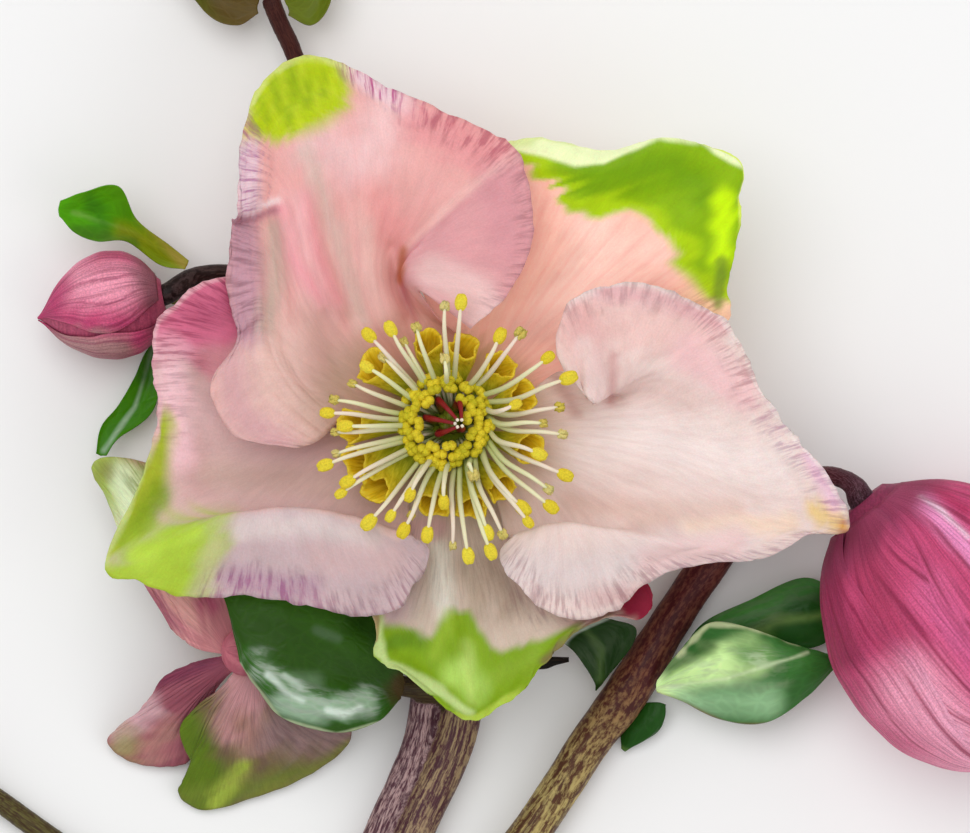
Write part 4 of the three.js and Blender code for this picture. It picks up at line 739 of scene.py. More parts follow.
BRANCHES = {
    "scape": [[-24, -88, 3, 3.35], [-21.6, -82, 3, 3.2], [-18.6, -74, 2.9, 3.1], [-13.4, -61.5, 2.8, 3]],
    "flower_stalk": [
        [-14.2, -64, 2.6, 2.4], [-8.6, -52, 2.2, 2.2], [-3.5, -40.8, 2.1, 2.05], [0.7, -31, 2.1, 2.1],
        [1.6, -22, 2.1, 2.1], [1.2, -12, 2, 2.05], [0.4, -5, 2, 2.1], [0.05, -1.2, 1.95, 2.4],
        [0, 1.3, 1.95, 2.45], [0, 3.3, 4.2, 2.2], [0, 3, 7.4, 1.9], [0, 1, 10.4, 2],
        [0, 0, 12.2, 2.4], [0, 0, 13.5, 2.6],
    ],
    "left_stalk": [
        [-16, -64, 2.4, 2], [-12.4, -53, 1.6, 1.6], [-7.1, -40.8, 1.5, 1.5], [-3.2, -31, 1.45, 1.45],
        [-2.6, -20, 1.4, 1.4], [-6.5, -8, 1.3, 1.25], [-11, 4, 1.6, 1.2], [-14.5, 12, 1.9, 1.2],
        [-15.3, 22, 1.8, 1.1], [-15.3, 31, 2.2, 1], [-15.5, 36.5, 2.8, 0.95], [-17.4, 41, 3.4, 1],
        [-18.3, 43.3, 3.8, 1],
    ],
    "left_bud_stalk": [
        [-13.9, 10.6, 1.8, 1], [-18, 14.4, 2, 1], [-22.5, 15.3, 2.8, 1], [-26, 14.9, 3.6, 1.05],
        [-28.3, 13.4, 4.8, 1.15],
    ],
    "right_stalk": [
        [-20.4, -78.5, 2.7, 2.6], [-12, -67, 2.1, 2.2], [-1.5, -54, 2, 2.05], [8.4, -40.8, 2, 2.05],
        [14.2, -32, 2, 2.1], [18.2, -26.6, 2.1, 2.3], [22.2, -20, 2, 2], [26.4, -13.8, 2.1, 1.95],
        [30.5, -8.6, 3.2, 1.6], [34.4, -5.8, 6, 1.25], [38, -5.1, 9, 1.05], [40.4, -5.9, 10.6, 1.05],
        [41.1, -7.1, 10.7, 1.4],
    ],
    "low_bud_stalk": [
        [-13, -61, 2.4, 1.6], [-20, -56.5, 1.6, 1.4], [-30, -49.3, 1.2, 1.25], [-42, -40.8, 1.2, 1.2],
        [-46.6, -37.4, 1.8, 1.1], [-49, -35.7, 2.5, 0.9],
    ],
    "side_flower_stalk": [
        [1, -27, 2.4, 1.3], [-4.8, -26.4, 4, 1.1], [-9, -25.4, 6.4, 1.05], [-13.4, -24.3, 8.6, 1.05],
        [-17.4, -23.4, 10, 1.05], [-20.2, -22.9, 9.9, 1.4],
    ],
}


# ---------------------------------------------------------------- materials
BUMP_DISTANCE = 0.0002       # metres


class Graph:
    """A material's nodes. An input may be a number, a colour or another node's output."""

    def __init__(self, name):
        self.material = bpy.data.materials.new(name)
        self.material.use_nodes = True
        self.tree = self.material.node_tree
        self.shader = self.tree.nodes["Principled BSDF"]

    def put(self, socket, value):
        if isinstance(value, bpy.types.NodeSocket):
            self.tree.links.new(value, socket)
        else:
            socket.default_value = value

    def add(self, kind, inputs, **settings):
        node = self.tree.nodes.new(kind)
        for key, value in settings.items():
            setattr(node, key, value)
        for key, value in inputs.items():
            self.put(node.inputs[key], value)
        return node.outputs

    def attribute(self, name):
        return self.add("ShaderNodeAttribute", {}, attribute_name=name)

    def noise(self, place, scale, detail, roughness):
        return self.add("ShaderNodeTexNoise", {"Vector": place, "Scale": scale, "Detail": detail,
                                               "Roughness": roughness})["Fac"]

    def stretch(self, place, across, along):
        return self.add("ShaderNodeMapping", {"Vector": place,
                                              "Scale": (across, along, 1.0)})["Vector"]

    def grain(self, place, across, along, detail=3.0, roughness=0.6):
        """Noise drawn out along the way that the part grew."""
        return self.noise(self.stretch(place, across, along), 1.0, detail, roughness)

    def step(self, value, low, high, start=0.0, end=1.0):
        return self.add("ShaderNodeMapRange", {"Value": value, "From Min": low, "From Max": high,
                                               "To Min": start, "To Max": end},
                        interpolation_type="SMOOTHSTEP")["Result"]

    def mul(self, a, b):
        return self.add("ShaderNodeMath", {0: a, 1: b}, operation="MULTIPLY")[0]

    def plus(self, a, b):
        return self.add("ShaderNodeMath", {0: a, 1: b}, operation="ADD")[0]

    def blend(self, share, first, second, mode="MIX"):
        return self.add("ShaderNodeMix", {"Factor": share, 6: first, 7: second},
                        data_type="RGBA", blend_type=mode)[2]

    def streaked(self, mask):
        """The painted colour, with that of the streaks where the mask lets it through."""
        paint, streak = self.attribute("paint"), self.attribute("streak")
        return self.blend(self.mul(mask, streak["Alpha"]), paint["Color"], streak["Color"])

    def toned(self, colour, red, green, blue, share=1.0):
        """The colour times a tone for each of its channels."""
        tones = self.add("ShaderNodeCombineColor", {"Red": red, "Green": green, "Blue": blue})
        return self.blend(share, colour, tones["Color"], "MULTIPLY")

    def bump(self, height, strength):
        bumps = self.add("ShaderNodeBump", {"Height": height, "Strength": strength,
                                            "Distance": BUMP_DISTANCE})
        self.put(self.shader.inputs["Normal"], bumps["Normal"])

    def surface(self, **values):
        for key, value in values.items():
            self.put(self.shader.inputs[key.replace("_", " ")], value)


def petal(name, across=1.6, along=0.3, contrast=0.03, relief=0.14, roughness=0.55, glow=0.0,
          grainy=0.05):
    """Painted sepal: colour streaks and fine veins follow the way that it grew."""
    g = Graph(name)
    place = g.attribute("flow")["Vector"]
    broad = g.grain(place, across, along, 2.0, 0.55)
    fine = g.grain(place, across * 2.6, along * 1.6)
    net = g.grain(place, 2.4, 1.6)
    dots = g.grain(place, 4.6, 4.6, 4.0, 0.7)
    mottle = g.grain(place, 0.45, 0.28, 4.0)
    veins = g.step(fine, 0.3, 0.7, 1 - contrast, 1 + contrast * 0.5)
    tone = g.mul(veins, g.mul(g.step(mottle, 0.25, 0.75, 0.94, 1.05),
                              g.step(dots, 0.3, 0.7, 1 - grainy, 1 + grainy)))
    cool = g.mul(tone, g.step(net, 0.25, 0.75, 0.96, 1.03))
    colour = g.streaked(g.step(g.plus(g.mul(broad, 0.62), g.mul(fine, 0.38)), 0.44, 0.62))
    colour = g.toned(colour, tone, cool, cool)
    # A glow above 0 is painted light: the surface gives off its own colour.
    g.surface(Base_Color=colour, Subsurface_Weight=0.1, Subsurface_Scale=0.0012,
              Roughness=g.step(net, 0.3, 0.7, roughness - 0.08, roughness + 0.08),
              Specular_IOR_Level=0.18, Emission_Color=colour, Emission_Strength=glow)
    g.bump(g.plus(g.mul(fine, 0.3), g.plus(g.mul(net, 0.5), g.mul(dots, 0.3))), relief)
    return g.material


def leaf_skin(name):
    """Leathery bract: a net of veins, glossy between them."""
    g = Graph(name)
    place = g.attribute("flow")["Vector"]
    warp = g.grain(place, 0.6, 0.6, 2.0, 0.55)
    cells = g.add("ShaderNodeTexVoronoi", {"Vector": g.stretch(place, 0.9, 0.6), "Scale": 1.0},
                  feature="DISTANCE_TO_EDGE")
    net = g.step(g.plus(cells["Distance"], g.mul(warp, 0.1)), 0.02, 0.3)
    patches = g.grain(place, 1.1, 0.3)
    light = g.step(net, 0.0, 1.0, 1.1, 1.0)
    # The streak colour, laid on in noise patches, carries the painted sheen of the glossy bracts.
    colour = g.toned(g.streaked(g.step(patches, 0.42, 0.6)), light, light, light)
    g.surface(Base_Color=colour, Subsurface_Weight=0.04, Subsurface_Scale=0.0008,
              Roughness=g.step(patches, 0.3, 0.7, 0.26, 0.48), Specular_IOR_Level=0.12)
    g.bump(g.plus(net, g.mul(patches, 0.8)), 0.14)
    return g.material


def flesh(name, across=2.8, along=0.22, relief=0.3, roughness=0.42, coat=0.0):
    """Painted stem or style, with streaks along it and specks of the second colour."""
    g = Graph(name)
    place = g.attribute("flow")["Vector"]
    lines = g.grain(place, across, along, 4.0, 0.62)
    specks = g.grain(place, 4.6, 0.782, 3.0, 0.65)
    tone = g.step(lines, 0.3, 0.7, 0.8, 1.12)
    colour = g.streaked(g.step(g.plus(g.mul(lines, 0.42), g.mul(specks, 0.58)), 0.43, 0.6))
    g.surface(Base_Color=g.toned(colour, tone, tone, tone), Subsurface_Weight=0.06,
              Subsurface_Scale=0.001, Specular_IOR_Level=0.15,
              Roughness=g.step(lines, 0.3, 0.7, roughness - 0.1, roughness + 0.12),
              Coat_Weight=coat, Coat_Roughness=0.35)
    g.bump(g.plus(lines, g.mul(specks, 0.4)), relief)
    return g.material


def pollen(name):
    """Anthers and filaments; the streaks' strength says how grainy the surface is."""
    g = Graph(name)
    grainy = g.attribute("streak")["Alpha"]
    place = g.add("ShaderNodeTexCoord", {})["Object"]
    grain = g.noise(place, 5.4 / STEP, 3.0, 0.65)
    tone = g.step(grain, 0.3, 0.7, 0.84, 1.1)
    colour = g.toned(g.attribute("paint")["Color"], tone, tone, tone, grainy)
    g.surface(Base_Color=colour, Roughness=0.7, Subsurface_Weight=0.1, Subsurface_Scale=0.0006,
              Specular_IOR_Level=0.25)
    g.bump(grain, g.mul(grainy, 0.9))
    return g.material


PETAL = petal("petal")
GLOWING_PETAL = petal("glowing_petal", glow=0.17)          # painted light: this sepal glows in its own colour to brighten its shaded face
SIDE_PETAL = petal("side_petal", contrast=0.14, relief=0.5, roughness=0.45)
BUD_SKIN = petal("bud_skin", across=3.4, along=0.1, contrast=0.1, relief=0.3, roughness=0.5,
                 grainy=0.2)
LEAF = leaf_skin("leaf")
DRY_LEAF = flesh("dry_leaf", relief=1.0, roughness=0.65)
STEM = flesh("stem")
POLLEN = pollen("pollen")
NECTARY = flesh("nectary", across=2.5, along=0.5, relief=0.4, roughness=0.34, coat=0.3)
STYLE = flesh("style", relief=0.4, roughness=0.4, coat=0.2)


# ---------------------------------------------------------------- open flower: sepals
# Strokes, in steps as seen from above: where, how wide, colour, softness, raggedness, strength.
def paint_top_left(leaf):
    leaf.wash("#eaaca8")
    leaf.line([(-13, 28), (-9, 26), (-6, 31)], 5, "#f2c6c6", 5, 0.5, 0.9)
    leaf.line([(-3, 30), (2, 28), (5, 26)], 4, "#e8989c", 3, 0.5, 0.8)
    leaf.line([(-8.4, 22), (-8, 15), (-6.5, 11)], 2.6, "#efc2ba", 3, 0.4, 0.8)
    leaf.line([(-7.6, 23), (-5.6, 19.5)], 3, "#f0a2a0", 3, 0.5, 0.8)
    leaf.line([(-15.4, 22), (-14.4, 16), (-12, 11)], 2.4, "#f3babb", 2.4, 0.3, 0.9)
    leaf.line([(-16.8, 21.5), (-15.8, 17), (-12.8, 12.2)], 1.0, "#f09aa6", 1.8, 0.2, 0.75)
    leaf.line([(-14.2, 23), (-13.4, 17.5), (-11.3, 12.6)], 1.0, "#f09ca6", 2.0, 0.2, 0.65)
    leaf.line([(-14.2, 27), (-12.2, 21.3), (-10, 14.4), (-8.8, 10.6)], 1.7, "#d3c0b4", 2.4, 0.3,
              0.7)
    leaf.beyond([(8, 28.6), (6.6, 27.4), (-4.4, 17.3), (-4.4, 14.4), (-2.7, 12.6), (1, 8)],
                "#dfa0a4", 0.6, 0.1)
    leaf.line([(5, 24), (6, 18)], 4, "#d6949c", 3, 0.4, 0.7)
    leaf.line([(-1.6, 15), (2.6, 13.4), (3.2, 11)], 3.8, "#ecc4c2", 3, 0.4, 0.9)
    leaf.line([(-4.6, 17.4), (0.6, 22.4), (6.8, 27.2)], 0.5, "#f4cac2", 0.9, 0.2, 0.45)
    # Painted shade: dark red in the valley under the curled lobe.
    leaf.line([(-4.9, 15), (-4.3, 12.5), (-3.4, 10.4)], 0.9, "#b56a70", 1.0, 0.2, 0.8)
    leaf.line([(-4.5, 17.5), (-4.9, 14.6)], 0.8, "#b8663a", 0.8, 0.2, 0.8)
    leaf.veins(16, 0.35, "#dc7f88", 0.1)
    leaf.blob(-16, 3.5, 8, "#e4c0b6", 6, 0.6, 0.85)
    leaf.line([(-22, 7), (-21, 1), (-17, -2)], 3.4, "#d2a0a6", 3.4, 0.5, 0.75)
    leaf.line([(-18.6, 17), (-18.4, 12)], 2, "#bc8688", 2, 0.4, 0.6)
    leaf.line([(-14, 10), (-12, 5)], 4, "#c8968e", 4, 0.4, 0.5)
    leaf.line([(-12.6, 2), (-10, 6)], 4, "#c8aa9a", 4, 0.5, 0.7)
    leaf.line([(-20.9, 20.4), (-20.8, 15), (-20.4, 9.6)], 3.4, "#c294a4", 2.4, 0.3, 0.9)
    leaf.line([(-17.6, 19.6), (-17.4, 14), (-18.6, 10)], 1.8, "#c8b4a4", 2.4, 0.3, 0.8)
    leaf.line([(-20.6, 9), (-19, 10.8)], 0.6, "#a87080", 0.8, 0.1, 0.6)
    # Painted highlight along the edge of the folded-back flap, and painted shadow just under it.
    leaf.line([(-21.2, 21.2), (-17.2, 22.4)], 0.6, "#f4dcdc", 0.6, 0.1, 0.8)
    leaf.line([(-21.2, 20.4), (-17.4, 21.5)], 0.7, "#a06478", 0.8, 0.1, 0.7)
    leaf.beyond([(-24, 29.4), (-19.4, 28.6), (-17.3, 28.2), (-15, 29), (-12.7, 30),
                 (-10.2, 31.6), (-9.7, 38)], "#b8ce08", 1.8, 0.35)
    leaf.blob(-15.6, 33.4, 2.4, "#9cb806", 2.6, 0.6, 0.7)
    for start, end in (((-17.8, 35), (-17, 31.4)), ((-15.8, 36), (-15.4, 33)),
                       ((-14.2, 34), (-14, 31.6)), ((-12.4, 35.2), (-12.6, 33)),
                       ((-19, 32.6), (-18.2, 30.4)), ((-16.2, 31.6), (-15.8, 29.8))):
        leaf.line([start, end], 0.5, "#86a404", 0.9, 0.4, 0.6)
        leaf.line([(start[0] + 0.9, start[1]), (end[0] + 0.9, end[1])], 0.4, "#d8e436", 0.8,
                  0.4, 0.4)
    leaf.line([(-20.4, 31), (-20.6, 28.4)], 0.8, "#ecb45c", 0.8, 0.3, 0.8)
    leaf.line([(-20.4, 27.4), (-20.2, 22.4)], 2.6, "#e8ccd6", 1.6, 0.3, 0.9)
    leaf.band(0.395, 0.565, 0.4, "#dce48c", 0.5, 0.2, 0.8)
    leaf.band(0.339, 0.405, 1.8, "#f0d4dc", 1.6, 0.4, 0.8)
    leaf.band(0.226, 0.348, 2.6, "#cc4a6c", 2.6, 0.6, 0.6, streaks=True)
    leaf.band(0.329, 0.414, 1.8, "#c03486", 1.8, 0.6, 0.85, streaks=True)
    leaf.band(0.546, 0.659, 2.6, "#b85c9c", 2.6, 0.7, 0.75, streaks=True)
    leaf.band(0.68, 0.83, 3, "#94586c", 3, 0.5, 0.45, streaks=True)
    leaf.band(0.028, 0.226, 1.4, "#b0607a", 2, 0.4, 0.4, streaks=True)
    leaf.base(4, "#8c7c3e", 4, 0.85)
    leaf.base(9, "#b08c68", 6, 0.45)


def paint_top_right(leaf):
    leaf.wash("#f3bcac")
    leaf.line([(9, 12), (16, 16), (21, 18)], 5, "#f9cabc", 5, 0.5, 0.9)
    # Painted light: these two strokes are lighter to make up for the shade under the top left sepal's
    # lobe.
    leaf.line([(10, 24), (9, 17), (5, 12)], 4.5, "#ffc6b4", 4, 0.5, 0.95)
    leaf.line([(14, 22), (15, 17), (12, 12)], 5, "#ffd6c8", 5, 0.5, 0.85)
    leaf.line([(23, 6), (26, 12)], 5, "#efcb9e", 4, 0.5, 0.8)
    leaf.line([(7, 9), (12, 10), (20, 11)], 3, "#e2b0a4", 3, 0.5, 0.7)
    leaf.veins(13, 0.4, "#e28a80", 0.14)
    leaf.beyond([(3, 27.5), (6.5, 26.6), (8, 25.2), (10, 24.2), (12, 21.4), (15, 20.5),
                 (18, 21.4), (20, 20), (22, 17.2), (24, 15.6), (26.2, 13), (29.5, 11.6)],
                "#a6ca06", 1.2, 1.0)
    leaf.beyond([(9, 27), (12, 23.6), (18, 23), (21.5, 21), (24, 18.5), (25.5, 15.5), (30, 14)],
                "#80aa00", 1.8, 1.2, 0.9)
    leaf.line([(14, 25), (22, 26), (26, 23)], 3, "#689600", 3, 0.9, 0.75)
    leaf.line([(27.4, 23), (27.2, 17)], 2.2, "#c6f000", 1.8, 0.5, 0.9)
    leaf.line([(27.2, 16.4), (26.8, 12)], 1.0, "#6f8a20", 0.9, 0.3, 0.8)
    leaf.beyond([(31, 24.8), (28.9, 25.6), (24.9, 27.9), (20.9, 28.3), (15.4, 26), (12.4, 25.8),
                 (6.7, 27.4), (2, 27.4)][::-1], "#e6f0b8", 0.5, 0.1)
    leaf.line([(5, 28), (9, 28.8), (12.4, 28)], 1.0, "#c3d47c", 1.0, 0.5, 0.6)
    leaf.band(0.3, 0.56, 0.35, "#cfe25c", 0.4, 0.1, 0.9)
    leaf.line([(18, 9), (26, 11.5)], 4, "#dc8a78", 3, 0.8, 0.3, streaks=True)
    leaf.line([(8, 22), (12, 17), (22, 14)], 7, "#e89484", 5, 0.8, 0.08, streaks=True)
    leaf.base(6, "#a98a50", 5, 0.75)


def paint_right(leaf):
    leaf.wash("#ecd4ce")
    leaf.line([(13, -2), (20, -1), (27, -3), (32, -4)], 5, "#f4e2de", 5, 0.5, 0.9)
    # Painted shade on the face above the crest of the lower lobe.
    leaf.line([(12, -8), (20, -9), (28, -8.6)], 2.4, "#dcbcb0", 2.4, 0.4, 0.7)
    leaf.line([(24, -10.4), (34, -9.8)], 1.8, "#f5d6be", 1.8, 0.4, 0.8)
    leaf.line([(12, 10), (17, 10.5), (24, 9)], 5.5, "#eec4be", 4, 0.5, 0.9)
    leaf.line([(24, 7), (29, 3.6)], 4, "#f2c4c6", 3, 0.4, 0.85)
    leaf.line([(13, 11), (14, 6)], 3, "#e0a2a2", 3, 0.4, 0.5)
    leaf.line([(14, -16.6), (20, -16.8)], 2, "#c48688", 2.4, 0.5, 0.5)
    leaf.line([(15, 13.4), (22, 12.6), (27, 9.8)], 2, "#e2aeb2", 2, 0.3, 0.8)
    leaf.line([(13.4, 8), (14.4, 3)], 1.8, "#edd0cc", 1.4, 0.3, 0.85)
    # Painted shadow along the lower left edge of the upper lobe.
    leaf.line([(10.4, 5), (12.6, 1.4)], 1.4, "#b98c88", 1.6, 0.3, 0.7)
    leaf.line([(16.4, 5), (24, 3)], 3, "#e2c4be", 3, 0.5, 0.7)
    leaf.line([(16, 2.4), (16.3, 7)], 0.9, "#cfa09c", 1.2, 0.2, 0.8)
    leaf.line([(6, -14), (12, -15), (18, -13.6), (28, -12.2)], 4, "#e4d2d0", 3, 0.5, 0.9)
    leaf.line([(20, -13.4), (28, -12)], 3, "#efcac8", 2.4, 0.4, 0.8)
    leaf.veins(18, 0.3, "#d4a4a0", 0.1)
    leaf.line([(36.4, -8.6), (39.6, -10)], 1.8, "#ecca88", 2, 0.5, 0.95)
    leaf.blob(39.6, -10.1, 0.8, "#d89a48", 0.8, 0.2, 0.9)
    leaf.line([(38.5, -8), (35.8, -3)], 1.0, "#f0c0da", 1.4, 0.4, 0.7)
    leaf.band(0.5, 0.68, 2.4, "#c86fb6", 2.4, 0.5, 0.5, streaks=True)
    leaf.band(0.66, 0.84, 2.4, "#d07a86", 2.4, 0.5, 0.5, streaks=True)
    leaf.band(0.82, 0.97, 2.2, "#cf8c96", 2.4, 0.6, 0.35, streaks=True)
    leaf.band(0.27, 0.5, 2.0, "#bc70a0", 2.2, 0.5, 0.45, streaks=True)
    leaf.band(0.03, 0.27, 3.0, "#bc7284", 3.2, 0.6, 0.5, streaks=True)
    leaf.band(0.5, 0.95, 0.35, "#f8e8e4", 0.4, 0.2, 0.7)
    leaf.base(4, "#98884c", 4, 0.85)
    leaf.base(9, "#c8aa92", 7, 0.5)


def paint_bottom(leaf):
    leaf.wash("#d2beae")
    # Pale midrib, lightened further with painted light where the stamens shade it.
    leaf.line([(-1.2, -12), (-0.3, -19)], 2, "#e8e0d2", 1.6, 0.3, 0.95)
    leaf.line([(-5, -14), (-6, -19)], 3, "#d6b6ba", 3, 0.4, 0.85)
    leaf.line([(1.6, -14), (3, -19)], 2, "#b4a08c", 2, 0.4, 0.7)
    # Painted shadow of the right sepal's lower lobe: pinkish, then brownish nearer the middle.
    leaf.line([(8, -13), (14, -18)], 5, "#cf9ea2", 4, 0.5, 0.8)
    leaf.line([(4, -14), (6, -18)], 3, "#98806c", 3, 0.4, 0.6)
    leaf.line([(-5.4, -10.4), (-1.4, -10.4)], 2.6, "#dcaeb0", 1.8, 0.2, 0.8)
    leaf.beyond([(-8.5, -19.8), (-5, -20), (-3, -21), (-1.9, -21), (-1, -19.6), (0.3, -18.3),
                 (1.8, -18.9), (2.8, -20), (3.6, -21.7), (5.1, -22.5), (7.5, -22),
                 (11.3, -20.4), (13, -20), (16, -21)][::-1], "#84a818", 1.1, 0.3)
    leaf.line([(-5.6, -21.8), (-3, -21.8)], 1.8, "#628a14", 1.6, 0.5, 0.85)
    leaf.line([(-1.6, -23), (0, -19)], 1.4, "#9aba30", 1.2, 0.4, 0.8)
    leaf.line([(1, -25), (2.4, -26)], 3.2, "#b6da66", 2.4, 0.4, 0.85)
    leaf.line([(5, -25), (9, -23)], 1.8, "#8fb02e", 1.8, 0.5, 0.8)
    leaf.line([(1.6, -22), (2.2, -27.6)], 1.0, "#c8e07c", 1.4, 0.3, 0.5)
    leaf.line([(16, -15.5), (20.4, -18.5)], 5, "#901c38", 2, 0.6, 1.0)
    leaf.line([(9.5, -23.6), (12.6, -21), (16, -19.4)], 1.0, "#7d6a4a", 0.8, 0.3, 0.85)
    leaf.line([(-7.3, -18.8), (-7.2, -22.7), (-6.4, -23.8), (-3.3, -25.3), (-0.6, -26.9),
               (1.9, -28.8)], 1.0, "#c2d88c", 0.6, 0.2, 0.9)
    leaf.line([(-7.5, -18.8), (-7.5, -21.4)], 0.7, "#a88460", 0.6, 0.2, 0.8)
    leaf.band(0.45, 0.62, 0.7, "#b4d04a", 0.7, 0.2, 0.9)
    leaf.line([(-5, -13), (6, -15)], 9, "#b0907e", 6, 0.8, 0.2, streaks=True)
    leaf.line([(8, -18), (14, -18)], 4, "#b46a84", 3, 0.8, 0.4, streaks=True)
    leaf.base(5, "#a09050", 5, 0.8)


def paint_left(leaf):
    leaf.wash("#dab6b2")
    leaf.line([(-24, 2), (-18, -1), (-12, -2)], 5, "#dab4b4", 5, 0.5, 0.8)
    leaf.line([(-26.2, -2), (-25, -6)], 3, "#cf9c9e", 3, 0.5, 0.6)
    # Painted shade: dusky band on the face above the crest.
    leaf.line([(-24, -5), (-14, -5.6), (-8, -7)], 3, "#ccaca2", 2.4, 0.4, 0.7)
    leaf.line([(-28, 5), (-27.6, -3)], 3.4, "#fbcbd3", 3, 0.5, 0.9)
    leaf.beyond([(-32, 8.6), (-29, 7.6), (-25, 6.4), (-21, 8.4), (-15, 8.5), (-12, 12)],
                "#da7090", 2.4, 0.8)
    leaf.line([(-28.6, 8), (-25, 6.6)], 2.4, "#e8aebc", 2, 0.5, 0.7)
    leaf.line([(-8.4, -11.2), (-4.8, -12.8)], 2, "#ecd2cc", 1.8, 0.4, 0.7)
    leaf.line([(-24, 6.6), (-21, 5), (-17, 7)], 3.2, "#dc8c9a", 2.4, 0.4, 0.8)
    leaf.line([(-25, 11), (-22, 12.5), (-18, 10)], 3, "#bc5878", 3, 0.5, 0.8)
    leaf.line([(-29.4, 0), (-30, -5), (-33, -12.6)], 3.4, "#a6b42a", 2.0, 0.4, 1.0)
    leaf.line([(-29, -7), (-32, -12)], 2.2, "#7c9a14", 1.8, 0.4, 0.8)
    leaf.beyond([(-1, -8), (-3.3, -10.9), (-5.2, -11.6), (-7.5, -10.5), (-11.4, -9.2),
                 (-15.6, -8.5), (-20.6, -9), (-28.3, -9.8), (-34.2, -13.4), (-40, -12)],
                "#cbb1b4", 0.5, 0.1)
    leaf.beyond([(-25.4, -18), (-23, -14), (-21.8, -8.9), (-28.3, -9.8), (-34.2, -13.4),
                 (-40, -12)], "#acc83a", 4.0, 0.9)
    leaf.line([(-31, -13.4), (-27, -11.4), (-25.4, -10.6)], 1.8, "#bcdc48", 1.6, 0.4, 0.8)
    leaf.line([(-23.4, -12), (-25.2, -16.6)], 1.8, "#c2c08a", 2, 0.6, 0.8)
    leaf.line([(-20.5, -10.4), (-14, -10), (-8, -11.6)], 2.2, "#dccac8", 1.8, 0.3, 0.9)
    leaf.line([(-13, -13), (-6, -13.6)], 3, "#d3b3b3", 2.4, 0.4, 0.8)
    leaf.line([(-22, -15), (-14, -16.4)], 2.6, "#bb98a8", 2, 0.4, 0.8)
    leaf.line([(-29.6, 0), (-30.5, -4), (-34.6, -13.8)], 0.6, "#c9d98a", 0.6, 0.2, 0.8)
    leaf.band(0.0, 0.32, 5, "#a42c58", 4.4, 0.6, 0.6, streaks=True)
    leaf.band(0.3, 0.42, 3.6, "#c06884", 4, 0.8, 0.35, streaks=True)
    leaf.band(0.64, 0.78, 3.2, "#b05a94", 3.0, 0.7, 0.7, streaks=True)
    leaf.band(0.76, 0.96, 2.4, "#b0708a", 2.6, 0.6, 0.55, streaks=True)
    leaf.band(0.06, 0.42, 0.45, "#ecb8c0", 0.5, 0.2, 0.9)
    leaf.base(4.5, "#9a8848", 4, 0.85)
    leaf.base(8, "#b89a86", 6, 0.45)


SEPAL_PAINT = {
    "sepal_top_left": paint_top_left, "sepal_top_right": paint_top_right,
    "sepal_right": paint_right, "sepal_bottom": paint_bottom, "sepal_left": paint_left,
}

# Ridges and, with a negative height, valleys: path, width, height.
SEPAL_FOLDS = {
    "sepal_top_left": [
        ([(-4.4, 17.3), (-1, 20.6)], 0.8, 0.4), ([(-4.4, 17.3), (0.6, 22.2), (6.6, 27.4)], 0.9, 0.35),
        ([(-6.4, 18.6), (-2, 24), (3, 28.6)], 1.8, -0.6),
        ([(-5.4, 17.6), (-5.1, 14.6), (-4, 11)], 1.0, -0.9),
        ([(-16.8, 22), (-15.8, 17), (-12.8, 12)], 1.0, 0.5),
        ([(-14.2, 24), (-13.4, 17.5), (-11.2, 12)], 1.0, 0.35),
        ([(-12.4, 26), (-12, 18), (-9.6, 11)], 1.2, -0.7),
        ([(-8.6, 27), (-8, 16), (-6.5, 11)], 1.6, 0.5),
        ([(-18.4, 20), (-17.2, 14), (-17, 10)], 1.3, -0.6),
    ],
    "sepal_top_right": [
        ([(5, 12), (9, 17), (12, 22)], 1.5, 0.5), ([(8, 12), (14, 17), (17, 22)], 1.6, -0.4),
        ([(12, 9), (19, 14), (24, 20)], 1.8, 0.5), ([(18, 22), (24, 25)], 1.6, -0.4),
    ],
    "sepal_right": [
        ([(14.2, 9), (14.2, 4), (14.4, 2)], 1.0, 0.5), ([(16.6, 9), (16.6, 3)], 1.0, -0.6),
        ([(10, -3), (20, -4), (30, -5)], 2.0, 0.3), ([(12, -8), (20, -9), (30, -8.4)], 1.4, -0.4),
        ([(22, 12), (19, 6)], 1.5, 0.4),
    ],
    "sepal_bottom": [
        ([(-1.2, -12), (-0.3, -19), (2.2, -27)], 0.9, 0.5), ([(-3.6, -19), (-2.6, -24)], 1.5, -0.5),
        ([(-7, -18.8), (-6.8, -22.7), (-3.2, -25.1), (1.9, -28.4)], 0.7, 0.5),
        ([(4.4, -19), (6, -24)], 1.6, -0.5),
    ],
    "sepal_left": [
        ([(-12, 3), (-20, 1), (-27, -2)], 1.8, 0.4), ([(-24, 6), (-18, 5)], 1.4, -0.6),
        ([(-12, -5.6), (-20, -6), (-28, -6)], 1.6, -0.4), ([(-8, -13), (-9, -17)], 1.2, 0.3),
        ([(-16, -12), (-17, -16)], 1.2, 0.3), ([(-28, -11), (-29.6, -15)], 1.2, -0.4),
        ([(-12, -12), (-12.6, -17)], 1.2, -0.25),
    ],
}

# Rounded ends of the rim: end, share of the rim, share of the sepal's length.
SEPAL_TRIMS = {
    "sepal_top_left": [(1, 0.06, 0.1)], "sepal_right": [(0, 0.06, 0.1), (1, 0.06, 0.1)],
    "sepal_left": [(1, 0.06, 0.12)],
}

SEPAL_GRID = (140, 90)       # faces across and outward

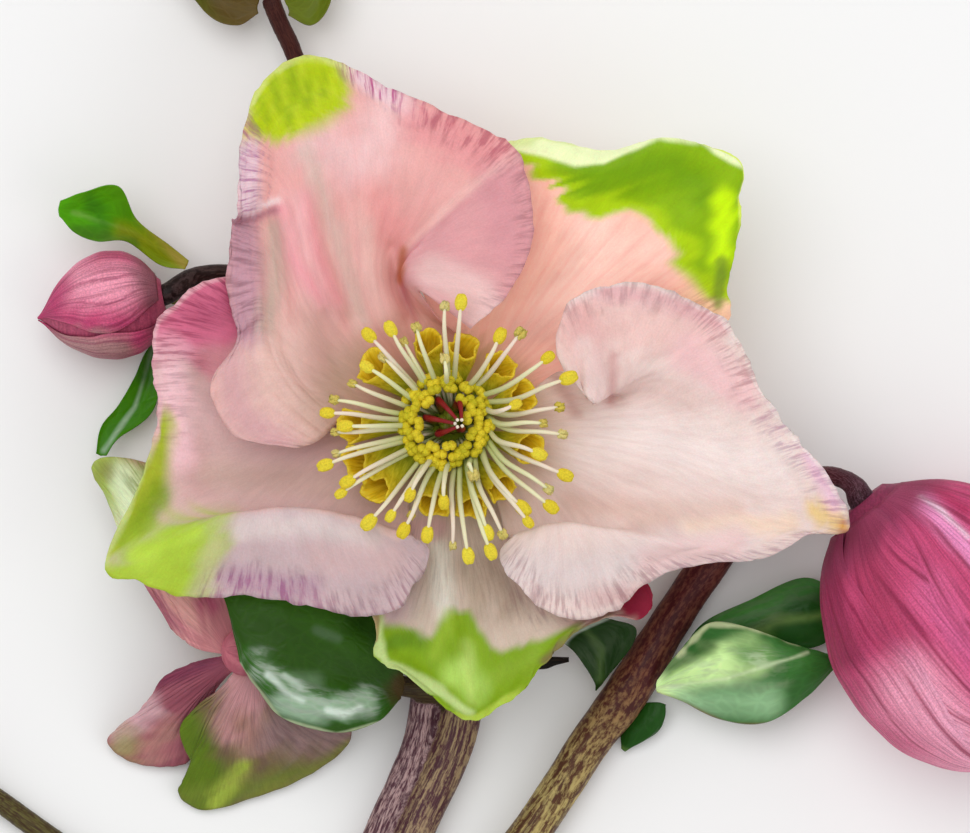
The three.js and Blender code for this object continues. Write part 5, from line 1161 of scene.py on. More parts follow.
for number, sepal in enumerate(SEPALS):
    name = sepal["name"]
    base = base_arc((0, 0, sepal["base"]), SEPAL_RING_RADIUS, sepal["from"], sepal["to"])
    rings = [[(x, y, z + FLOWER_HEIGHT) for x, y, z in ring] for ring in
             (base, sepal["inner"], sepal["middle"], sepal["outer"], sepal["rim"])]
    sheet = span(rings, SEPAL_GRID, SEEDS["sepals"] + number, SEPAL_TRIMS.get(name, ()))
    sheet.wave(sepal["waves"], sepal["phase"], height=0.3)
    SEPAL_PAINT[name](sheet)
    for path, width, height in SEPAL_FOLDS[name]:
        sheet.fold(path, width, height)
    sheet.crumple(size=5.0, height=0.22)
    sheet.crumple(size=2.0, height=0.06, inner=0.1)
    sheet.pleat(count=30, height=0.03)
    sheet.frill(height=0.18)
    # The top right sepal glows: painted light on a sepal that lies in shade.
    skin = GLOWING_PETAL if name == "sepal_top_right" else PETAL
    declare(make_mesh(name.replace("sepal", "petal"), skin, *sheet.solid()), "sepal", name)


def on_flower(angle, radius, height, *width):
    """A place on the open flower, and if given the width of what grows there."""
    return (radius * math.cos(angle), radius * math.sin(angle), height + FLOWER_HEIGHT, *width)


# ---------------------------------------------------------------- open flower: nectaries
CUP_RINGS, CUP_SIDES = 15, 28
CUP_BOTTOM = 4               # the ring of the wall at which the hollow ends
CUP_WALL = 0.2
RING_SIDES = 48

# Colours of a wall low down and at the lip, and the shares between which they change.
CUP_OUTSIDE = ("#98a81c", "#e8cc24", 0.2, 0.9)
CUP_INSIDE = ("#b08c08", "#f2cc20", 0.3, 1)


def nectary(parts, angle, reach, number):
    """A two-lipped cup: its wall goes up outside, over the lip and down inside."""
    angle = math.radians(angle)
    shares = np.linspace(0, 1, CUP_RINGS)
    centres = spline([on_flower(angle, 3.1, 0.8), on_flower(angle, reach * 0.62, 2.2),
                      on_flower(angle, reach * 0.86, 3.2), on_flower(angle, reach, 4.4)], shares)
    width = spline([[0.4], [0.72], [1.2], [1.45]], shares)[:, 0]
    heading = unit(np.gradient(centres, axis=0))
    crossways = np.array([-math.sin(angle), math.cos(angle), 0.0])
    turns = all_round(CUP_SIDES)
    cos, sin = np.cos(turns)[:, None], np.sin(turns)[:, None]
    outside = [(k, 0, CUP_OUTSIDE) for k in range(CUP_RINGS)]
    inside = [(k, CUP_WALL, CUP_INSIDE) for k in range(CUP_RINGS - 1, CUP_BOTTOM, -1)]
    rings, colours, flow = [], [], []
    for k, wall, (low, high, start, end) in outside + inside:
        up = np.cross(heading[k], crossways)
        up = up if up[2] > 0 else -up
        mouth = smooth(0.7, 1, shares[k])
        lobes = (width[k] - wall) * (1 + 0.3 * mouth * ripple(turns * 1.7, 0.0, number))
        lip = mouth * (0.55 * (1 - np.sin(turns)) + 0.45 * ripple(turns * 2.3, 0.0, number + 3))
        rings.append(centres[k] + cos * crossways * (lobes * 1.12)[:, None]
                     + sin * up * (lobes * 0.78)[:, None] + heading[k] * lip[:, None])
        tone = np.full(CUP_SIDES, smooth(start, end, shares[k]))
        colours.append(between(rgba(low), rgba(high), tone))
        flow.append(np.stack([turns * width[k], np.full(CUP_SIDES, shares[k] * 8),
                              np.full(CUP_SIDES, float(number))], -1))
    vertices = np.concatenate([*rings, centres[:1], centres[CUP_BOTTOM:CUP_BOTTOM + 1]])
    parts.add(vertices, closed_faces(len(rings), CUP_SIDES),
              paint=np.concatenate([*colours, [rgba("#5e7a0a"), rgba("#6a4c04")]]),
              streak=rgba("#eee250", 0.3), flow=np.concatenate([*flow, np.zeros((2, 3))]))


def nectary_ring(parts):
    """The low ring on which the cups stand."""
    outline = [(2.65, 0.35), (3.1, 0.25), (3.5, 0.35), (3.6, 0.8), (3.4, 1.2), (2.65, 1.2)]
    turns = all_round(RING_SIDES)
    ring = np.concatenate([
        np.stack([radius * np.cos(turns), radius * np.sin(turns),
                  np.full(RING_SIDES, height + FLOWER_HEIGHT)], -1) for radius, height in outline])
    faces = [tuple(corner % len(ring) for corner in face)
             for face in side_faces(len(outline) + 1, RING_SIDES)]
    parts.add(ring, faces, paint=rgba("#8a981c"), streak=rgba("#98a82c", 0.5), flow=ring)


cups = Parts()
for number, (angle, reach) in enumerate(NECTARIES):
    nectary(cups, angle, reach, number)
nectary_ring(cups)
declare(cups.build("nectary_cups", NECTARY), "nectary", "nectaries")


# ---------------------------------------------------------------- open flower: stamens
GRAINY, PLAIN = rgba("#000000", 1.0), rgba("#000000", 0.12)
FILAMENT_SIDES = 10
FRESH = {"length": 0.86, "width": 0.5, "apart": 0.14, "bump": 0.07, "tones": ("#f6e040", "#ecd02c")}
SPENT = {"length": 0.8, "width": 0.5, "apart": 0.3, "bump": 0.5, "tones": ("#e6d68c", "#d9c24c")}


def anther(parts, tip, heading, size, state, seed):
    """Two lobes side by side; a spent anther is pale and shrivelled."""
    heading = unit(heading)
    side = unit(np.cross(heading, UP))
    first, last = (rgba(tone) for tone in state["tones"])
    colour = between(first, last, [lattice(seed, seed * 3.0, 11)])[0]
    for lobe in (-1, 1):
        parts.add_ball(colour, GRAINY, centre=tip + side * lobe * size * state["apart"],
                       axis=heading, length=size * state["length"], width=size * state["width"],
                       sides=16, rings=12, bump=state["bump"], seed=seed + lobe)


def filament(parts, stations, seed, rings=18):
    """A thin stalk, green at its foot and cream or pinkish above."""
    vertices, faces = tube(stations, FILAMENT_SIDES, rings, sway=0.05, seed=seed)
    share = tube_shares(FILAMENT_SIDES, rings)
    upper = between(rgba("#e8e8b8"), rgba("#f0dccc"), [lattice(seed, 2.0, 3)])[0]
    paint = between(rgba("#9aa848"), upper, smooth(0.1, 0.85, share))
    flow = np.stack([share * 0, share * 9, share * 0 + seed], -1)
    parts.add(vertices, faces, paint=paint, streak=PLAIN, flow=flow)


def long_stamen(parts, x, y, height, size, order):
    """From the dome to its anther, in the solid stamen's own curve."""
    turn = 2 * math.pi * order / len(ANTHERS) - math.pi
    reach, aim = math.hypot(x, y), math.atan2(y, x)
    bend = aim + 0.6 * (((turn - aim + 3 * math.pi) % (2 * math.pi)) - math.pi)
    sag = 0.5 * (2 * lattice(order, 7.0, 4) - 1)
    stations = [on_flower(turn, 2, 0.8 + 0.9 * (order % 2), 0.24),
                on_flower(bend, 3.5, 4.2, 0.27),
                on_flower(aim, max(4.4, reach * 0.55), height * 0.78, 0.27),
                on_flower(aim + 0.35 * sag / reach, reach * 0.82, height * 0.97 + 0.4, 0.22),
                on_flower(aim, reach, height, 0.15)]
    heading = unit(np.subtract(stations[4][:3], stations[3][:3]))
    filament(parts, stations, order)
    anther(parts, stations[4][:3] + heading * size * 0.2, heading, size,
           FRESH if size > 0.75 else SPENT, order)


CROWN_COUNT = 64
CROWN_INNER, CROWN_OUTER, CROWN_HEIGHT = 2.2, 4.6, 6.2


def crown_stamen(parts, index):
    """One of the short unopened stamens that crowd round the styles."""
    share = math.sqrt((index + 0.5) / CROWN_COUNT)
    radius = CROWN_INNER + (CROWN_OUTER - CROWN_INNER) * share
    radius += 0.5 * (lattice(index, 9.0, 6) - 0.5)
    angle = math.radians(index * GOLDEN_ANGLE + 16 * (lattice(index, 6.0, 8) - 0.5))
    cos, sin = math.cos(angle), math.sin(angle)
    top = np.array([radius * cos - 0.5, radius * sin + 0.5,
                    FLOWER_HEIGHT + CROWN_HEIGHT - 1.1 * share + 0.5 * lattice(index, 4.0, 2)])
    foot = np.array(on_flower(angle, 1.5, 2))
    width = 0.17
    filament(parts, [(*foot, width), (*(top * 0.5 + foot * 0.5), width), (*top, width)],
             SEEDS["crown"] + index, rings=7)
    tone = between(rgba("#f0d830"), rgba("#ccc020"), [lattice(index, 1.0, 5)])[0]
    side = np.array([-sin, cos, 0.0])
    for lobe in (-1, 1):
        parts.add_ball(tone, GRAINY, centre=top + side * lobe * 0.26,
                       axis=(0.3 * cos, 0.3 * sin, 1), length=0.76, width=0.48, sides=14, rings=10,
                       bump=0.1, seed=index + lobe)


stamens = Parts()
by_angle = sorted(ANTHERS, key=lambda place: math.atan2(place[1], place[0]))
for order, place in enumerate(by_angle):
    long_stamen(stamens, *place, order)
for index in range(CROWN_COUNT):
    crown_stamen(stamens, index)
stamens.add_ball(rgba("#7c8a14"), PLAIN, centre=(0, 0, FLOWER_HEIGHT + 1.6), axis=UP, length=1.5,
                 width=2.35, sides=32, rings=14)
declare(stamens.build("stamen_crown", POLLEN), "anther", "stamens")


# ---------------------------------------------------------------- open flower: carpels
STYLE_SIDES, STYLE_RINGS = 14, 18


def style(parts, x, y, number):
    """A red style that leans towards the others, with its pale stigma."""
    z = FLOWER_HEIGHT
    stations = [(x * 0.8, y * 0.8, z + 3.2, 0.5), (1.5 * x, 1.5 * y, z + 5.2, 0.34),
                (0.4 + 1.1 * x, 1.1 * y, z + 6.8, 0.26), (1 + 0.3 * x, 0.3 * y, z + 8.1, 0.15)]
    vertices, faces = tube(stations, STYLE_SIDES, STYLE_RINGS, sway=0.08, seed=number)
    share = tube_shares(STYLE_SIDES, STYLE_RINGS)
    paint = between(rgba("#5d6b12"), rgba("#86141c"), smooth(0.02, 0.3, share))
    flow = np.stack([share * 0, share * 6, share * 0 + number], -1)
    parts.add(vertices, faces, paint=paint, streak=rgba("#8a2a30", 0.5), flow=flow)
    parts.add_ball(rgba("#efe2d0"), rgba("#efe2d0", 0), centre=(1 + 0.3 * x, 0.3 * y, z + 8.2),
                   axis=UP, length=0.16, width=0.18, sides=12, rings=8, bump=0.2, seed=number)


carpels = Parts()
for number, (x, y) in enumerate(STYLES):
    style(carpels, x, y, number)
for number in range(len(STYLES)):
    turn = math.radians(360 / len(STYLES) * number + 20)
    cos, sin = math.cos(turn), math.sin(turn)
    carpels.add_ball(rgba("#6d7a18"), rgba("#4c2414", 0.6),
                     centre=(0.55 * cos, 0.3 + 0.55 * sin, FLOWER_HEIGHT + 3.7),
                     axis=(0.2 * cos, 0.2 * sin, 1), length=1.0, width=0.75, sides=16, rings=10,
                     bump=0.1, seed=number)
declare(carpels.build("styles", STYLE), "style", "carpels")


# ---------------------------------------------------------------- side flower
def paint_side_up_left(leaf):
    leaf.wash("#cc8090")
    leaf.line([(-29, -17), (-25, -21)], 7, "#f4b4ac", 5, 0.6, 0.8)
    leaf.line([(-24.4, -17.4), (-22, -22)], 2.4, "#b83c70", 2, 0.5, 0.8)
    leaf.line([(-36, -4), (-30, -9), (-27, -13)], 6.5, "#a6c052", 3, 0.8, 0.95)
    leaf.line([(-33, -5), (-32, -10), (-30.6, -14)], 3.0, "#f2ffd4", 2, 0.4, 0.9)
    leaf.line([(-32, -4), (-28, -10)], 4, "#8eae2c", 2, 0.8, 0.6, streaks=True)
    leaf.blob(-34.6, -4.6, 1.2, "#8a8a3c", 1.6, 0.6, 0.7)
    leaf.line([(-31, -14), (-29, -19), (-25, -22)], 1.2, "#b04070", 1.4, 0.6, 0.45)
    leaf.line([(-33, -14), (-28.4, -20)], 2.0, "#a4566e", 2, 0.6, 0.7)
    leaf.line([(-31, -15), (-24, -22)], 5, "#a04060", 3, 0.8, 0.2, streaks=True)
    leaf.base(3, "#cc8488", 2, 0.8)


def paint_side_left(leaf):
    leaf.wash("#a25a68")
    leaf.line([(-22, -22.6), (-27, -24.8), (-33, -27.6)], 1.8, "#7f3450", 1.6, 0.4, 0.85)
    leaf.line([(-23, -25), (-30, -29.4)], 1.0, "#7b3448", 1.2, 0.3, 0.55)
    leaf.line([(-30.4, -28.2), (-33.6, -31)], 3, "#dcb0b6", 2, 0.5, 0.9)
    leaf.blob(-33, -32.4, 1.8, "#a0a060", 2.4, 0.6, 0.7)
    leaf.line([(-28.4, -31), (-30.4, -33)], 2.4, "#b8887c", 2.4, 0.6, 0.7)
    leaf.beyond([(-20, -22), (-36, -33)][::-1], "#96466a", 3, 0.8, 0.4, streaks=True)


def paint_side_down(leaf):
    leaf.wash("#7c6e44")
    leaf.veins(7, 0.5, "#6c4450", 0.4)
    leaf.line([(-27.3, -31), (-25.6, -34.5), (-25.5, -38.5)], 5, "#5f7c10", 3, 0.8, 0.95)
    leaf.line([(-26.4, -38), (-21, -37), (-15, -34.8)], 2, "#70822c", 2, 0.6, 0.8)
    leaf.line([(-24, -38), (-22, -36), (-20.8, -34.6)], 1.4, "#a8bc44", 1.2, 0.4, 0.9)
    leaf.line([(-20.5, -26), (-21, -30)], 5, "#d49a9e", 3, 0.6, 0.95)
    leaf.line([(-21, -30), (-18.6, -32)], 2.4, "#98705c", 3, 0.6, 0.8)
    leaf.line([(-17, -31), (-11, -31)], 5, "#9a7c7c", 4, 0.8, 0.9)
    leaf.line([(-20, -37.8), (-14.5, -35.5), (-10.4, -32.4)], 1.4, "#7c8434", 1.2, 0.5, 0.8)
    leaf.line([(-22, -30), (-12, -30)], 9, "#6c4450", 5, 0.8, 0.35, streaks=True)


def paint_side_right(leaf):
    leaf.wash("#b98a90")
    leaf.band(0.0, 1.0, 2.4, "#8a8a48", 2.0, 0.7, 0.7)
    leaf.band(0.0, 1.0, 1.2, "#a03850", 1.6, 0.5, 0.5)
    leaf.base(2.5, "#8e4a66", 2, 0.5, streaks=True)


def paint_side_up(leaf):
    leaf.wash("#c06c94")
    leaf.blob(-17, -11, 3.4, "#9a7a5c", 3, 0.6, 0.7)
    leaf.line([(-22, -14), (-21, -20)], 6, "#8c2f62", 2, 0.6, 0.7, streaks=True)


SIDE_PAINT = {
    "side_sepal_up_left": paint_side_up_left, "side_sepal_left": paint_side_left,
    "side_sepal_down": paint_side_down, "side_sepal_right": paint_side_right,
    "side_sepal_up": paint_side_up,
}

SIDE_GRID = (80, 56)
HANGING_COUNT = 14

for number, sepal in enumerate(SIDE_SEPALS):
    name = sepal["name"]
    base = base_arc(SIDE_RING, SIDE_RING_RADIUS, sepal["from"], sepal["to"])
    sheet = span([base, sepal["middle"], sepal["rim"]], SIDE_GRID, SEEDS["side_sepals"] + number)
    SIDE_PAINT[name](sheet)
    sheet.crumple(size=3.5, height=0.14)
    sheet.pleat(count=16, height=0.12)
    piece = make_mesh(name.replace("sepal", "petal"), SIDE_PETAL, *sheet.solid())
    declare(piece, "side_sepal", name)

hanging = Parts()
for index in range(HANGING_COUNT):
    angle = math.radians(index * GOLDEN_ANGLE)
    spread = 1 + 1.5 * math.sqrt((index + 0.5) / HANGING_COUNT)
    cos, sin = math.cos(angle), math.sin(angle)
    foot = np.array([SIDE_RING[0] + 0.8 * cos, SIDE_RING[1] + 0.8 * sin, 5.6])
    tip = np.array([SIDE_RING[0] + spread * cos, SIDE_RING[1] + spread * sin, 1.6 + 0.1 * index])
    seed, width = SEEDS["side_stamens"] + index, 0.2
    filament(hanging, [(*foot, width), (*((foot + tip) / 2), width), (*tip, width)], seed)
    anther(hanging, tip, tip - foot, 0.9, FRESH, seed)
hanging.add_ball(rgba("#b8787e"), PLAIN, centre=(*SIDE_RING[:2], 5.7), axis=UP, length=1.0,
                 width=1.25, sides=24, rings=12)
declare(hanging.build("side_flower_stamens", POLLEN), "anther", "side_flower_centre")


# ---------------------------------------------------------------- buds
class Bud:
    """Places on a bud by share of its length and angle round it."""

    def __init__(self, base, tip, flatten, profile):
        self.base, self.axis = np.array(base, float), np.subtract(tip, base).astype(float)
        self.length = np.linalg.norm(self.axis)
        self.side = unit(np.cross(self.axis / self.length, UP))
        self.up = np.cross(self.side, self.axis / self.length)
        self.flatten, self.profile = flatten, np.array(profile, float)

    def width(self, share):
        """The solid bud's outline, rounded between its stations."""
        knots, widths = self.profile[:, 0], self.profile[:, 1]
        rounded = sum(np.interp(share + shift, knots, widths)
                      for shift in (-0.04, -0.02, 0, 0.02, 0.04)) / 5
        # The last sixth narrows to a round end.
        closing = np.sqrt(1 - np.clip((share - 0.84) / 0.165, 0, 1)**2)
        return closing * np.where(share > 0.94, np.interp(share, knots, widths), rounded)

    def place(self, share, angle, extra):
        """A place `extra` steps outside the outline, but never below the surface."""
        width = self.width(share) + extra
        point = (self.base + np.multiply.outer(share, self.axis)
                 + (width * np.cos(angle))[..., None] * self.side
                 + (width * np.sin(angle) * self.flatten)[..., None] * self.up)
        point[..., 2] = np.maximum(point[..., 2], 0.02)
        return point


BODY_RINGS, BODY_SIDES = 60, 48


def bud_body(bud):
    """The closed core that shows between the sepals."""
    shares, turns = np.meshgrid(np.linspace(0, 1, BODY_RINGS), all_round(BODY_SIDES), indexing="ij")
    rings = bud.place(shares, turns, np.maximum(-0.12, -bud.width(shares)))
    vertices = np.concatenate([rings.reshape(-1, 3), [bud.base, bud.base + bud.axis]])
    faces = closed_faces(BODY_RINGS, BODY_SIDES)
    return vertices, [(face[0], *face[:0:-1]) for face in faces]


def bud_sepal(bud, middle, cover, overlap, seed, grid):
    """A sheet wrapped round part of the bud, narrow at its foot and at its point."""
    s, t = share_grid(*grid)
    share = 0.03 + 0.965 * t
    spread = cover * (0.55 + 0.45 * np.sin(np.pi * np.minimum(1, share * 1.1)))
    angle = np.radians(middle + spread * (2 * s - 1) + 1.5 * ripple(t * 7, 0.0, seed))
    overlap = overlap * (1 - 0.9 * smooth(0.8, 1, t))
    extra = np.maximum(overlap * (0.55 + 0.45 * smooth(0, 0.16, np.minimum(s, 1 - s))),
                       0.1 - bud.width(share))
    return Sheet(bud.place(share, angle, extra), s, t, seed)


def rib(sheet, size, seed):
    """Swells and ribs that run from the foot of a bud's sepal to its point."""
    ends = smooth(0.03, 0.2, sheet.t) * (1 - smooth(0.85, 1, sheet.t))
    sheet.lift(0.06 * size * ripple(sheet.wide / 3, sheet.out / 5, seed)
               + 0.08 * size * (np.abs((sheet.s * 11) % 1 * 2 - 1) - 0.5) * ends)
    sheet.grid[..., 2] = np.maximum(sheet.grid[..., 2], 0.1)


def paint_bud_right(leaf, order):
    leaf.wash("#cc4c7a" if order else "#c24870")
    leaf.line([(46.4, -26.4), (53, -33.4)], 7, "#ffb0ca", 6, 0.4, 0.9)
    leaf.line([(38.8, -12), (38.4, -17), (40, -23)], 2.6, "#882a4a", 2.4, 0.4, 0.7)
    # Painted highlight beside the fold of the top sepal's edge.
    leaf.line([(47.6, -8), (49.8, -10.2), (52.4, -13.4)], 1.9, "#ffa4d8", 2, 0.3, 0.85)
    leaf.line([(48, -17), (54, -26)], 4, "#e4689a", 4, 0.4, 0.8)
    leaf.line([(41.6, -12), (43, -20)], 4, "#b03c60", 4, 0.6, 0.85)
    leaf.line([(44.6, -5.4), (48, -6), (51.5, -8.6)], 1.2, "#b02a58", 1.2, 0.3, 0.7)
    # Painted glint: a white line along the same edge.
    leaf.line([(47, -7.2), (49.2, -8.7), (51.6, -11.2)], 0.4, "#ffe8f4", 0.6, 0.2, 0.8)
    leaf.base(4.5, "#7c3450", 4, 0.7)
    leaf.veins(5, 0.24, "#8c2448", 0.75)
    leaf.wash("#a83060", 0.45, streaks=True)


def paint_bud_left(leaf, order):
    leaf.wash("#d2507e" if order != 2 else "#b08082")
    leaf.line([(-37, 14.2), (-32, 14)], 4.4, "#f8a4ba", 3.6, 0.5, 0.9)
    leaf.line([(-40, 8.5), (-33, 8)], 2.4, "#b4908c", 2, 0.5, 0.85)
    leaf.line([(-41.4, 10.8), (-39, 14)], 2, "#b63468", 2.2, 0.4, 0.7)
    leaf.veins(5, 0.16, "#98305a", 0.5)
    leaf.base(2.8, "#6d4548", 3, 0.75)
    leaf.wash("#8c2452", 0.4, streaks=True)


def paint_small_bud(leaf, _):
    """Every sepal of a small bud has the same colours."""
    leaf.wash("#b8748a")
    leaf.base(2.2, "#6d7a34", 2, 0.9)
    leaf.wash("#8a2a56", 0.6, streaks=True)


BUD_PAINT = {"bud_right": paint_bud_right, "bud_left": paint_bud_left}
BUD_INSIDE = {"bud_left": "#b4506e"}
BUD_GRIDS = {"bud_right": (60, 76), "bud_left": (54, 64)}
SMALL_BUD_GRID = (36, 44)
FULL_BUD_LENGTH = 30         # steps; shorter buds have lower ribs
SEEDS_PER_BUD = 7

for number, entry in enumerate(BUDS):
    name = entry["name"]
    bud = Bud(entry["base"], entry["tip"], entry["flatten"], entry["profile"])
    parts = Parts()
    vertices, faces = bud_body(bud)
    parts.add(vertices, faces, paint=rgba(BUD_INSIDE.get(name, "#8a2f52")),
              streak=rgba("#5a1030", 0.3), flow=vertices)
    for order, (middle, cover, overlap) in enumerate(entry["sepals"]):
        sheet = bud_sepal(bud, middle, cover, overlap, SEEDS["buds"] + number * SEEDS_PER_BUD + order,
                          BUD_GRIDS.get(name, SMALL_BUD_GRID))
        BUD_PAINT.get(name, paint_small_bud)(sheet, order)
        rib(sheet, bud.length / FULL_BUD_LENGTH, number)
        vertices, faces, fields = sheet.solid()
        parts.add(vertices, faces, **fields)
    declare(parts.build(name.replace("bud", "bud_sepals"), BUD_SKIN), "bud", name)


# ---------------------------------------------------------------- bracts
def paint_bract_centre(leaf):
    leaf.wash("#2a4c10")
    leaf.line([(-8, -21), (-13, -18), (-22, -15.5)], 5, "#34600e", 4, 0.6, 0.9)
    leaf.line([(-6, -22), (-9, -20)], 3, "#1c3a0c", 3, 0.5, 0.8)
    leaf.line([(-8, -28.5), (-15, -28.4), (-21, -24)], 3.4, "#31641a", 3, 0.6, 0.85)
    # Painted highlights: silvery sheen on the glossy bract, in strokes and streaks.
    leaf.line([(-19, -23.8), (-17, -25.4), (-13.6, -25.6)], 1.6, "#6d8a66", 1.6, 0.7, 0.6)
    leaf.line([(-16.4, -27.8), (-12.4, -28.8), (-8.8, -27.6)], 1.8, "#a8c4a8", 1.8, 0.8, 0.75)
    leaf.line([(-19, -24), (-15, -27), (-12, -28.4), (-8.6, -27.4)], 3, "#dceada", 2, 0.8, 0.55,
              streaks=True)
    leaf.line([(-18.2, -25), (-16.4, -26.8), (-14.8, -27.6)], 0.35, "#e6f2e8", 0.6, 0.3, 0.6)
    leaf.line([(-16.6, -25), (-15, -26.2)], 0.3, "#d8e8da", 0.6, 0.3, 0.5)
    leaf.line([(-12.4, -28.6), (-10.6, -28.9), (-9.2, -28.4)], 0.4, "#eef8f0", 0.6, 0.3, 0.6)
    leaf.line([(-13.4, -20.6), (-11.2, -21.4)], 0.5, "#5c7458", 0.8, 0.4, 0.5)
    leaf.line([(-7, -30), (-11.5, -31), (-17, -29.5), (-21, -24)], 0.3, "#a8b890", 0.3, 0.1, 0.9)
    leaf.blob(-4.8, -26.5, 1.6, "#4a3a20", 1.6, 0.4, 0.95)


def paint_right_front(leaf):
    leaf.wash("#34682c")
    # Partly the bract's own yellow-green, partly painted sheen. The pale streaks after it are painted
    # sheen.
    leaf.line([(20.5, -26.8), (25, -25), (30, -23.2)], 3.8, "#dcffae", 2.6, 0.8, 1.0)
    leaf.line([(22.4, -26.2), (27, -24.4), (31, -23.4)], 1.8, "#ecffd8", 2.4, 0.8, 0.6,
              streaks=True)
    leaf.line([(22, -24.6), (26, -22.2)], 1.4, "#24501c", 1.6, 0.4, 0.8)
    leaf.line([(30, -23), (36, -23)], 3, "#3f7a34", 3, 0.5, 0.8)
    leaf.line([(24, -27.5), (32, -28)], 3.0, "#9cc896", 3, 0.6, 0.8)
    leaf.line([(23, -25.5), (33, -25)], 4, "#c4e0ac", 3, 0.9, 0.4, streaks=True)
    leaf.line([(19.6, -26.8), (28, -25.6), (36, -23)], 0.25, "#dcecc0", 0.4, 0.1, 0.55)
    leaf.line([(20.5, -27), (24, -28.4), (28, -30.4), (32, -30.4)], 0.7, "#7a4630", 0.6, 0.2, 0.8)
    leaf.line([(23, -23.2), (26, -20), (30, -20.3), (35, -22)], 0.5, "#c3cc9c", 0.5, 0.2, 0.8)


def paint_right_back(leaf):
    leaf.wash("#24521c")
    leaf.line([(28, -19.4), (34, -16.6), (38.5, -15.4)], 2.6, "#4a8a40", 2, 0.5, 0.7)
    leaf.line([(24, -24.5), (33, -20), (39, -19)], 1.2, "#6f9048", 1.0, 0.4, 0.7)
    # Painted sheen: greyish streaks.
    leaf.line([(26, -21), (36, -17)], 4, "#9cb890", 3, 0.8, 0.35, streaks=True)


def paint_right_left(leaf):
    leaf.wash("#1d3a10")
    leaf.line([(15, -25.8), (15.2, -22.6), (13.6, -20.6)], 0.7, "#55703a", 0.9, 0.3, 0.6)
    leaf.band(0.0, 1.0, 0.4, "#b3c2b4", 0.4, 0.2, 0.7)
    leaf.line([(14, -24), (17, -21)], 3, "#93ab86", 3, 0.8, 0.3, streaks=True)


def paint_right_low(leaf):
    leaf.wash("#1f4a14")
    leaf.band(0.0, 1.0, 0.5, "#5c7a3c", 0.5, 0.2, 0.6)


def paint_left_upper(leaf):
    leaf.wash("#4c8c00")
    leaf.line([(-39, 21.5), (-36, 21.5)], 4, "#4c9c04", 3, 0.6, 0.95)
    leaf.line([(-28, 17), (-32, 19.5), (-38, 21.5)], 0.4, "#8cb45c", 0.6, 0.2, 0.35)
    leaf.line([(-33, 19), (-30.4, 18.6), (-27.6, 16.6)], 2.8, "#8a8c08", 2.4, 0.5, 0.8)
    leaf.line([(-26.8, 16), (-29, 18.4), (-31.5, 20.9)], 1.0, "#a08a3a", 1.2, 0.5, 0.8)
    leaf.line([(-36.4, 23), (-34.4, 19.4)], 1.2, "#2f7010", 1.4, 0.5, 0.6)
    leaf.line([(-32, 18.4), (-38, 19.4)], 1.4, "#3a6a14", 1.4, 0.4, 0.7)


def paint_left_lower(leaf):
    leaf.wash("#3a7a06")
    # Painted highlight along the midrib.
    leaf.line([(-24.8, 13), (-30, 8.2), (-32, 1.8), (-35, -2.6)], 0.35, "#a4c0a4", 0.5, 0.2, 0.65)
    leaf.line([(-29, 9), (-31, 5)], 2.0, "#1f4a10", 2, 0.4, 0.7)


def paint_top_leaf(leaf):
    """Brownish green, yellower to the right."""
    leaf.wash("#5a5a20")
    leaf.blob(-21, 43, 3.4, "#5a4420", 3, 0.5, 0.8)
    leaf.blob(-14, 43, 3, "#64741a", 2, 0.5, 0.8)
    leaf.band(0, 1, 0.6, "#6d5a2e", 0.6, 0.3, 0.6)


def paint_green(leaf):
    """Plain green with a paler midrib."""
    leaf.wash("#4a7420")
    leaf.line([tuple(leaf.grid[leaf.grid.shape[0] // 2, j, :2]) for j in (0, -1)], 0.6,
              "#93a860", 0.7, 0.3, 0.7)
    leaf.band(0, 1, 0.6, "#6d5a2e", 0.6, 0.3, 0.5)


BRACT_PAINT = {
    "bract_centre": paint_bract_centre, "bract_right_front": paint_right_front,
    "bract_right_back": paint_right_back, "bract_right_left": paint_right_left,
    "bract_left_upper": paint_left_upper, "bract_left_lower": paint_left_lower,
    "bract_right_low": paint_right_low, "bract_top_left": paint_top_leaf,
    "bract_top_right": paint_top_leaf,
}

FINE_BRACTS = ("bract_centre", "bract_right_front")
FINE_GRID, LARGE_GRID, SMALL_GRID, DRY_GRID = (96, 112), (60, 80), (36, 48), (30, 50)


def bract_grid(name, rings):
    """The larger a bract, the more faces it has."""
    if name in FINE_BRACTS:
        return FINE_GRID
    return LARGE_GRID if len(rings) > 4 else SMALL_GRID


for number, (name, rings) in enumerate(BRACTS.items()):
    sheet = span(rings, bract_grid(name, rings), SEEDS["bracts"] + number)
    BRACT_PAINT.get(name, paint_green)(sheet)
    sheet.crumple(size=2.4, height=0.1)
    declare(make_mesh(name.replace("bract", "leaf"), LEAF, *sheet.solid()), "bract", name)

sheet = span(DRY_BRACT, DRY_GRID, SEEDS["dry_bract"])
sheet.wash("#17130f")
sheet.wash("#3a3026", 0.8, streaks=True)
sheet.crumple(size=1.0, height=0.16)
declare(make_mesh("leaf_dry", DRY_LEAF, *sheet.solid()), "dry_bract", "bract_dry")


